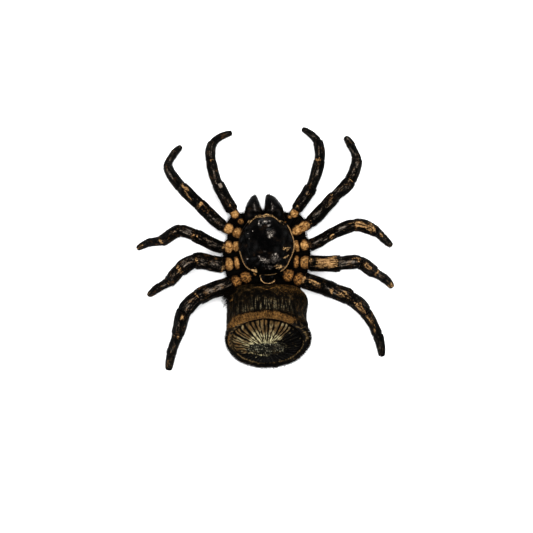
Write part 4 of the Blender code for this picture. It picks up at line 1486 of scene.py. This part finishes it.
def build_abdomen(materials):
    origin = abdomen_origin()
    centre = origin + DISC_CENTRE
    columns = 360
    turn = circle(columns)[None] - math.pi / 2
    cos, sin = np.cos(turn), np.sin(turn)
    rows = 96
    v = np.linspace(0, 1, rows)
    at = np.linspace(0, 1, len(BARREL)) ** 0.9
    back = curve([(a, b[0]) for a, b in zip(at, BARREL)], v)
    belly = curve([(a, b[1]) for a, b in zip(at, BARREL)], v)
    width = curve([(a, b[2]) for a, b in zip(at, BARREL)], v)
    width = np.maximum(width, 1.6)
    mid_y, mid_z = (back[:, 0] + belly[:, 0]) / 2, (back[:, 1] + belly[:, 1]) / 2
    half_y, half_z = (back[:, 0] - belly[:, 0]) / 2, (back[:, 1] - belly[:, 1]) / 2
    vv = v[:, None]
    bx = width[:, None] * cos
    by = mid_y[:, None] + half_y[:, None] * sin
    bz = mid_z[:, None] + half_z[:, None] * sin
    barrel = np.stack([origin[0] + bx, origin[1] + by, bz], -1)
    outward = unit(points(cos / 8.9, 0 * bx, sin / np.maximum(half_z[:, None], 2.0)))
    flow = points(9 * cos, 9 * sin, vv * 1.1)
    wrinkle_zone = smooth(0.54, 0.78, vv) * smooth(1.02, 0.97, vv)
    pleat = points(9 * cos, 9 * sin, vv * 1.3)
    wrinkles = 0.6 * noise(pleat, 0.62, 101) + 0.4 * noise(pleat, 0.34, 103)
    relief = 0.16 * layered(barrel, 2.2, 105) + 0.20 * wrinkles * (0.25 + 0.75 * wrinkle_zone)
    relief = relief + 0.06 * layered(barrel, 0.5, 109)
    # A dent and a bulge on the specimen's right flank, and a slight sag on its left.
    relief = relief - 0.66 * bump(turn, 0.25, 0.34) * bump(vv, 0.82, 0.09)
    relief = relief + 0.42 * bump(turn, 0.15, 0.3) * bump(vv, 0.58, 0.14)
    relief = relief + 0.30 * bump(turn, 0.30, 0.30) * bump(vv, 0.97, 0.06)
    relief = relief + 0.85 * bump(turn, 3.05, 0.36) * bump(vv, 0.40, 0.16)
    barrel = barrel + outward * (relief * smooth(0.0, 0.15, vv))[..., None]

    # The rim's roll, the groove inside it and the ribbed disc.
    degrees = (np.degrees(turn) + 360) % 360
    inner = 7.18 + 0.78 * smooth(0.7, -0.5, sin) + 0.62 * bump(degrees, 168.0, 34.0)
    rim = (
        (RIM_RADIUS - 0.22, -1.25),
        (RIM_RADIUS - 0.05, -0.75),
        (RIM_RADIUS, -0.30),
        (RIM_RADIUS - 0.12, 0.06),
        (RIM_RADIUS - 0.45, 0.28),
        (RIM_RADIUS - 0.90, 0.24),
        (DISC_RADIUS + 0.10, -0.10),
        (DISC_RADIUS - 0.08, -0.48),
    )
    roll_rows = 30
    k = np.linspace(0, 1, roll_rows)
    at_rim = np.linspace(0, 1, len(rim))
    rim_line = curve([(a, b) for a, b in zip(at_rim, rim)], k)
    rr, rh = rim_line[:, :1], rim_line[:, 1:]
    rr = rr + (inner - DISC_RADIUS) * smooth(0.35, 1.0, k[:, None])
    wobble = 1 - 0.040 * bump(degrees, 184.0, 34.0) + 0.012 * bump(degrees, 14.0, 16.0)
    wobble = wobble + 0.010 * np.sin(3 * turn + 0.6)
    wobble = wobble + 0.008 * noise(points(6 * cos, 6 * sin, 0), 1.0, 113)
    ring_x = rr * cos * wobble
    ring_u = rr * sin * wobble
    lumps = 0.07 * layered(points(ring_x, ring_u, rh * 3), 0.6, 115)
    roll = (
        centre
        + ACROSS * ring_x[..., None]
        + RISE * ring_u[..., None]
        + NORMAL * (rh + lumps * plateau(k[:, None], 0.45, 0.5))[..., None]
    )
    # The disc, read on rays from the middle of its ribs, which lies below its own middle.
    inner_rows = 118
    q = np.linspace(0, 1, inner_rows)[:, None]
    edge_x = (inner - 0.09) * cos * wobble
    edge_u = (inner - 0.09) * sin * wobble
    shrink = 1 - q
    dx = edge_x * shrink
    du = HUB + (edge_u - HUB) * shrink
    px, pu = dx, du - HUB
    ragged = np.stack([px, pu, 0 * px], -1)
    plate = np.sqrt((px / 4.2) ** 2 + (pu / 2.1) ** 2) + 0.16 * noise(ragged, 0.8, 119)
    angle = np.arctan2(pu, px)
    round_about = np.stack([np.cos(angle) * 5, np.sin(angle) * 5, 0 * angle], -1)
    radial = shrink + 0 * px
    dome = 0.95 * (1 - (np.hypot(dx, du) / DISC_RADIUS) ** 2) - 0.40 * bump(radial, 1.0, 0.05)
    phase = RIB_COUNT * angle + 1.9 * noise(round_about, 0.9, 121) + 0.45 * noise(ragged, 1.6, 122)
    crest = 0.5 + 0.5 * np.cos(phase)
    outer = smooth(0.86, 1.12, plate) * smooth(1.005, 0.97, radial)
    depth = 0.40 + 0.35 * noise(round_about, 0.45, 123)
    sharp = smooth(depth - 0.30, depth + 0.35, crest)
    ribs = outer * sharp
    strength = 0.75 + 0.35 * noise(round_about * 2 + [0, 0, 3], 0.7, 124)
    height = dome + 0.36 * ribs * strength - 0.10 * outer
    inside = smooth(1.12, 0.86, plate)
    grain = layered(ragged, 0.45, 127)
    height = height + inside * (0.17 * grain + 0.05)
    height = height + 0.20 * bump(plate, 1.0, 0.10) * (0.4 + 0.6 * sharp)
    height = height + 0.05 * layered(ragged, 0.3, 129)
    ridge_low = bump(plate, 1.30, 0.06) * smooth(-0.12, -0.5, np.sin(angle))
    ridge_low = ridge_low * smooth(0.5, -0.3, px / 4)
    height = height + 0.16 * ridge_low
    disc = centre + ACROSS * dx[..., None] + RISE * du[..., None] + NORMAL * height[..., None]
    rings = np.concatenate([barrel, roll, disc[1:-1]])
    floor = 0.015 + 0.02 * (noise(rings, 0.8, 131) + 1)
    rings[..., 2] = np.where(rings[..., 2] < floor, floor, rings[..., 2])


    def spread(on_barrel, on_roll, on_disc):
        parts = ((on_barrel, rows), (on_roll, roll_rows), (on_disc, inner_rows - 2))
        return np.concatenate([np.broadcast_to(part, (count, columns)) for part, count in parts])

    top = smooth(-0.35, 0.35, sin)
    fade = smooth(38, 60, degrees) * smooth(164, 134, degrees)
    # On its left the band climbs out of the rim onto the barrel, and the ribs follow it.
    climb = 0.34 * smooth(112, 150, degrees)
    teeth = noise(points(9.2 * cos, 9.2 * sin, 0.7 * vv), 0.42, 137)
    band_b = 0.62 * smooth(0.965 - 0.12 * climb, 0.995, vv + 0.03 * teeth) * fade * climb / 0.34
    front_fuzz = plateau(vv, 0.36, 0.20) * top * smooth(-0.65, 0.55, cos)
    band_b = np.maximum(band_b, 0.44 * front_fuzz)
    lip = barrel[..., 1] - origin[1] + 0.95 + 0.28 * np.cos(1.55 * (barrel[..., 0] - origin[0]))
    lip_line = 0.74 * bump(lip, 0.0, 0.10) * plateau(bx, 0.2, 3.9) * (sin > 0)
    band_b = np.maximum(band_b, lip_line)
    flake_x, flake_y = barrel[..., 0] + 7.4, barrel[..., 1] + 11.25
    flake = bump(flake_x + flake_y, 0.0, 0.62) * bump(flake_x - flake_y, 0.0, 0.28) * (sin > -0.3)
    band_b = np.maximum(band_b, 1.3 * flake)
    kk = k[:, None]
    outer_edge = smooth(0.97 - climb, 0.88 - climb, kk)
    band_r = 0.92 * outer_edge * smooth(0.14, 0.34, kk + climb + 0.06 * teeth[-1:]) * fade
    lower = 0.50 * bump(kk, 0.80, 0.06) * (1 - fade) * (0.45 + 0.55 * np.abs(cos))
    band_r = np.maximum(band_r, lower)
    brown_side = smooth(0.36, 0.55, kk) * bump(degrees, 176.0, 24.0)
    band_r = np.maximum(band_r, 0.66 * brown_side)
    central = plateau(bx, -0.2, 5.6)
    patches = smooth(-0.5, 0.2, noise(pleat, 2.2, 102) + 0.1)
    ridge_b = wrinkle_zone * smooth(0.0, 0.5, sin) * patches * (0.30 + 0.70 * central)
    left = climb / 0.34 * smooth(205, 185, degrees)
    # Black on the roll: painted shadow in the groove inside the rim, and painted shade on the lower
    # roll.
    black_and_shade_r = np.maximum(smooth(0.92, 0.97, kk), 0.75 * (1 - fade) * smooth(0.2, 0.4, kk))
    black_and_shade_r = black_and_shade_r * (1 - left)
    line_at = 0.80 - 0.22 * bump(degrees, 20.0, 26.0) + 0.10 * bump(degrees, 275.0, 55.0)
    rim_line_r = (0.64 - 0.26 * bump(degrees, 5.0, 44.0)) * bump(kk, line_at, 0.060)
    rim_line_r = rim_line_r * (1 - fade) * (0.55 + 0.45 * np.abs(cos))
    rib_r = rim_line_r + 0.25 * bump(kk, 0.45, 0.3) * (1 - fade)
    spokes = smooth(0.56, 0.68, kk) * left
    rib_r = np.maximum(rib_r * (1 - left), 0.85 * spokes * sharp[:1])
    black_and_shade_r = np.maximum(black_and_shade_r, 0.8 * spokes * (1 - sharp[:1]))
    # Painted light and shade on the disc: its upper left is taken as lit, and the ribs are painted
    # bright there and fade into painted shade elsewhere.
    lit = smooth(0.04, 0.44, np.sin(angle) - 0.62 * np.cos(angle) + 0.12 * noise(ragged, 1.2, 131))
    # Painted shadow at the disc's edge, in the groove under the rim.
    rim_groove_shadow = 0.8 * smooth(0.975, 0.995, radial) * (1 - left)
    black_and_shade_d = np.maximum(rim_groove_shadow, outer * smooth(0.62, 0.30, sharp))
    black_and_shade_d = np.maximum(black_and_shade_d, (1 - lit) * 0.80 * smooth(0.95, 1.2, plate))
    rib_d = np.maximum(ribs * (0.10 + 0.78 * lit) * smooth(1.0, 0.96, radial), 0.80 * ridge_low)
    rib_d = np.maximum(rib_d, 0.55 * bump(plate, 1.03, 0.09) * lit)
    # The ribs painted brighter towards the middle, as painted light.
    painted_rib_light_d = 1.10 - 1.10 * smooth(0.30, 0.80, radial) + 0.40 * noise(ragged, 0.8, 133)
    painted_rib_light_d = np.clip(painted_rib_light_d, 0, 1)
    cut = slice(1, -1)
    roll_flow = points(9 * cos, 9 * sin, k[:, None])
    disc_flow = points(5 * np.cos(angle), 5 * np.sin(angle), np.hypot(px, pu) / 4)
    values = {
        "flow": np.concatenate([flow, roll_flow, disc_flow[cut]]),
        "ridge": spread(ridge_b, 0, 0),
        "band": spread(band_b, band_r, 0),
        "black": spread(0, black_and_shade_r, black_and_shade_d[cut]),
        "rib": spread(0, rib_r, rib_d[cut]),
        "painted_rib_light": spread(0, 0.08, painted_rib_light_d[cut]),
        "speck": spread(0, 0, (inside * (0.6 + 0.4 * lit))[cut]),
    }
    abdomen = Surface()
    abdomen.tube(rings, values)
    abdomen.piece("abdomen_shell", materials["abdomen"], "abdomen_skin", ["abdomen"])
    build_abdomen_hairs(origin, centre, barrel, roll, outward, materials)


def build_abdomen_hairs(origin, centre, barrel, roll, outward, materials):
    rng = np.random.default_rng(150)
    columns = barrel.shape[1]
    angles = circle(columns) - math.pi / 2

    # The felted band along the upper half of the rim, combed away from the disc.
    count = 5600
    degrees = (np.degrees(angles) + 360) % 360
    weight = smooth(42, 66, degrees) * smooth(166, 130, degrees) + 0.02 * bump(degrees, 180.0, 25.0)
    column = rng.choice(columns, count, p=weight / weight.sum())
    row = 9 + rng.beta(1.4, 1.5, count) * 14
    row = np.clip(row - 10 * smooth(112, 150, degrees[column]), 0, 25).astype(int)
    root = roll[row, column]
    radial = unit(ACROSS * np.cos(angles[column])[:, None] + RISE * np.sin(angles[column])[:, None])
    lift = np.interp(row, [0, 8, 24], [0.15, 0.5, 1.3])[:, None]
    clump = noise(root, 0.55, 151)
    comb = np.stack([noise(root, 0.8, seed) for seed in (152, 153, 154)], -1)
    direction = radial * 0.75 - NORMAL * (0.7 - lift) * 0.8 + comb * 0.22
    direction = direction + rng.normal(0, 0.13, (count, 3))
    band = Surface()
    by_row = np.interp(row, [7, 12, 16, 23], [0.62, 0.50, 0.34, 0.24])
    length = by_row * rng.uniform(0.55, 1.20, count) * (1.0 + 0.2 * clump)
    streaks = noise(root, 0.16, 155)
    shade = np.interp(row, [7, 14, 23], [0.32, 0.28, 0.04]) + 0.35 * clump + 0.9 * streaks
    shade = shade + rng.uniform(-0.45, 0.45, count)
    radii = rng.uniform(0.014, 0.028, count)
    droop = -NORMAL * 0.5 + rng.normal(0, 0.12, (count, 3))
    add_hairs(band, root, direction, length, radii, droop, shade)
    band.piece("abdomen_rim_felt", materials["hair_tan"], "abdomen_skin")

    # Dark hairs on the flanks, the lower rim and the belly.
    count = 3800
    weight = smooth(0.55, 0.0, np.sin(angles)) + 0.05
    column = rng.choice(columns, count, p=weight / weight.sum())
    row = np.clip(rng.beta(1.4, 2.0, count) * 20, 0, 19).astype(int)
    root = roll[row, column]
    radial = unit(ACROSS * np.cos(angles[column])[:, None] + RISE * np.sin(angles[column])[:, None])
    direction = radial + NORMAL * rng.uniform(-0.5, 0.4, count)[:, None]
    direction = direction + rng.normal(0, 0.22, (count, 3))
    length = rng.uniform(0.28, 0.78, count)
    keep = (root + direction * length[:, None])[:, 2] > 0.03
    dark = Surface()
    radii = rng.uniform(0.024, 0.042, count)
    droop = NORMAL * 0.4 + rng.normal(0, 0.15, (count, 3))
    add_hairs(dark, root, direction, length, radii, droop, keep=keep)
    count = 5400
    column = rng.integers(0, columns, count)
    row = rng.integers(10, barrel.shape[0] - 2, count)
    root = barrel[row, column]
    out = outward[np.minimum(row, outward.shape[0] - 1), column]
    direction = out * 0.55 + np.array([0, -0.55, 0.25]) + rng.normal(0, 0.18, (count, 3))
    length = rng.uniform(0.20, 0.50, count)
    tuft = bump(angles[column], math.pi - 0.05, 0.40) * bump(row / barrel.shape[0], 0.34, 0.22)
    length = length * (1 + 2.2 * tuft)
    keep = ((root + direction * length[:, None])[:, 2] > 0.03) & (out[:, 2] > -0.93)
    radii = rng.uniform(*HAIR_RADIUS, count)
    add_hairs(dark, root, direction, length, radii, [0, -0.5, 0.1] - out * 0.3, keep=keep)
    count = 800
    column = np.argmin(np.abs(angles - math.pi)) + rng.integers(-30, 34, count)
    row = np.clip(rng.normal(37, 10, count), 14, 60).astype(int)
    root = barrel[row, column]
    direction = np.array([-1.0, -0.45, 0.1]) + rng.normal(0, 0.22, (count, 3))
    length, radii = rng.uniform(0.9, 2.1, count), rng.uniform(0.028, 0.050, count)
    add_hairs(dark, root, direction, length, radii, [0.25, -0.35, -0.1])
    dark.piece("abdomen_hairs", materials["hair_dark"], "abdomen_skin")


# A spinneret's width along it, as a share of the most: two rings, then a narrow tip.
SPINNERET_OUTLINE = (
    (0, 0.7), (0.1, 0.95), (0.30, 1.0), (0.36, 0.82), (0.42, 0.95),
    (0.66, 0.82), (0.72, 0.64), (0.78, 0.72), (0.95, 0.45), (1, 0.15),
)


def build_spinnerets(materials):
    for name in ("left", "right"):
        start, end, verts = flat_ends(f"spinneret_{name}", abdomen_origin())
        rows, columns = 36, 28
        t = np.linspace(0, 1, rows)
        size = curve(SPINNERET_OUTLINE, t)
        radius = thickness(verts, [start, end]) * size
        ahead = unit(end - start)
        side, up = level_frame(ahead)
        rings = [superring(mix(start, end, s), side, up, r, r, columns) for s, r in zip(t, radius)]
        rings = np.array(rings)
        keep_off_ground(rings, 0.02)
        zero = np.zeros((rows, columns))
        part = Surface()
        values = dict.fromkeys(("ridge", "black", "rib", "painted_rib_light", "speck"), zero)
        part.tube(rings, values | {"band": zero + 0.25, "flow": rings.copy()})
        node = f"spinneret_{name}"
        part.piece(f"{node}_shell", materials["abdomen"], "abdomen_skin", [node])


# ---------------------------------------------------------------- the stage


# In metres: the floor's half side and height, just below the feet, and the camera's distance and
# width of view. The sky's strength falls from the horizon to SKY_TOP above it.
FLOOR_HALF = 4.0
FLOOR_TOP = -2e-5
CAMERA_DISTANCE = 0.90
CAMERA_PLACE = (0.000305, -0.003805, CAMERA_DISTANCE + 0.004)
VIEW_WIDTH = 0.11726
SENSOR = 36.0
SKY_TOP = 0.6
SKY_STRENGTH = (0.92, 0.10)
# Each lamp's name, place in metres, size, power and kind.
LIGHTS = (
    ("overhead", (0.03, 0.16, 1.10), 0.72, 5.4, "SUN"),
    ("key", (0.22, 0.80, 0.86), 0.34, 6.0, "AREA"),
    ("fill_left", (-0.70, -0.35, 0.90), 0.8, 8.0, "AREA"),
    ("fill_right", (0.70, -0.45, 0.90), 0.8, 7.0, "AREA"),
)


def build_stage():
    mesh = bpy.data.meshes.new("floor")

    corners = [(-1, -1), (1, -1), (1, 1), (-1, 1)]
    corners = [(x * FLOOR_HALF, y * FLOOR_HALF, FLOOR_TOP) for x, y in corners]
    mesh.from_pydata(corners, [], [(0, 1, 2, 3)])
    n = Nodes("floor_paper")
    grain = n.noise(n.place(), 6.0, 2.0)
    white = n.blend(n.span(grain, 0.3, 0.7), rgb(0.86, 0.86, 0.86), rgb(0.90, 0.90, 0.90))
    n.finish(white, 0.9, 0.1)
    mesh.materials.append(n.material)
    floor = link("floor", mesh)

    world = bpy.data.worlds.new("studio")
    bpy.context.scene.world = world
    world.use_nodes = True
    tree = world.node_tree
    back = tree.nodes["Background"]
    coordinate = tree.nodes.new("ShaderNodeTexCoord")
    split = tree.nodes.new("ShaderNodeSeparateXYZ")
    ramp = tree.nodes.new("ShaderNodeMapRange")
    tree.links.new(coordinate.outputs["Generated"], split.inputs[0])
    tree.links.new(split.outputs["Z"], ramp.inputs["Value"])
    ramp.inputs["From Max"].default_value = SKY_TOP
    ramp.inputs["To Min"].default_value, ramp.inputs["To Max"].default_value = SKY_STRENGTH
    tree.links.new(ramp.outputs[0], back.inputs["Strength"])
    back.inputs["Color"].default_value = (1.0, 1.0, 1.0, 1.0)


def add_light(name, place, size, power, kind):
    """A disk lamp of a size, or a distant sheet of an angle that makes no highlights."""
    data = bpy.data.lights.new(name, kind)
    if kind == "AREA":
        data.shape = "DISK"
        data.size = size
    else:
        data.angle = size
    data.energy = power
    light = link(name, data)
    light.location = place
    light.rotation_euler = light.location.to_track_quat("Z", "Y").to_euler()
    light.visible_glossy = kind == "AREA"


def build_camera():
    data = bpy.data.cameras.new("camera")
    data.sensor_width = SENSOR
    data.lens = SENSOR * CAMERA_DISTANCE / VIEW_WIDTH
    data.clip_start = 0.01
    data.clip_end = 50.0
    camera = link("camera", data)
    camera.location = CAMERA_PLACE
    bpy.context.scene.camera = camera


def main():
    scene = bpy.context.scene
    scene.view_settings.view_transform = "Standard"
    build_camera()
    build_stage()
    for light in LIGHTS:
        add_light(*light)
    materials = {
        "leg": leg_material(),
        "hip": hip_material(),
        "shield": shield_material(),
        "abdomen": abdomen_material(),
        "skin": skin_material(),
        "flank": flank_material(),
        "eye": eye_material(),
        "hair_dark": hair_material("dark_hair", *DARK_HAIR),
        "hair_tan": hair_material("rim_hair", *TAN_HAIR),
    }
    limbs = ["palp_left", "palp_right"]
    limbs += [f"leg_{i}_{side}" for i in range(1, 5) for side in ("left", "right")]
    segments = {limb: build_limb(limb, number, materials) for number, limb in enumerate(limbs)}
    build_pleura(segments, materials)
    build_body = (build_shield, build_jaws, build_sternum, build_pedicel, build_abdomen)
    for build in (*build_body, build_spinnerets):
        build(materials)


main()
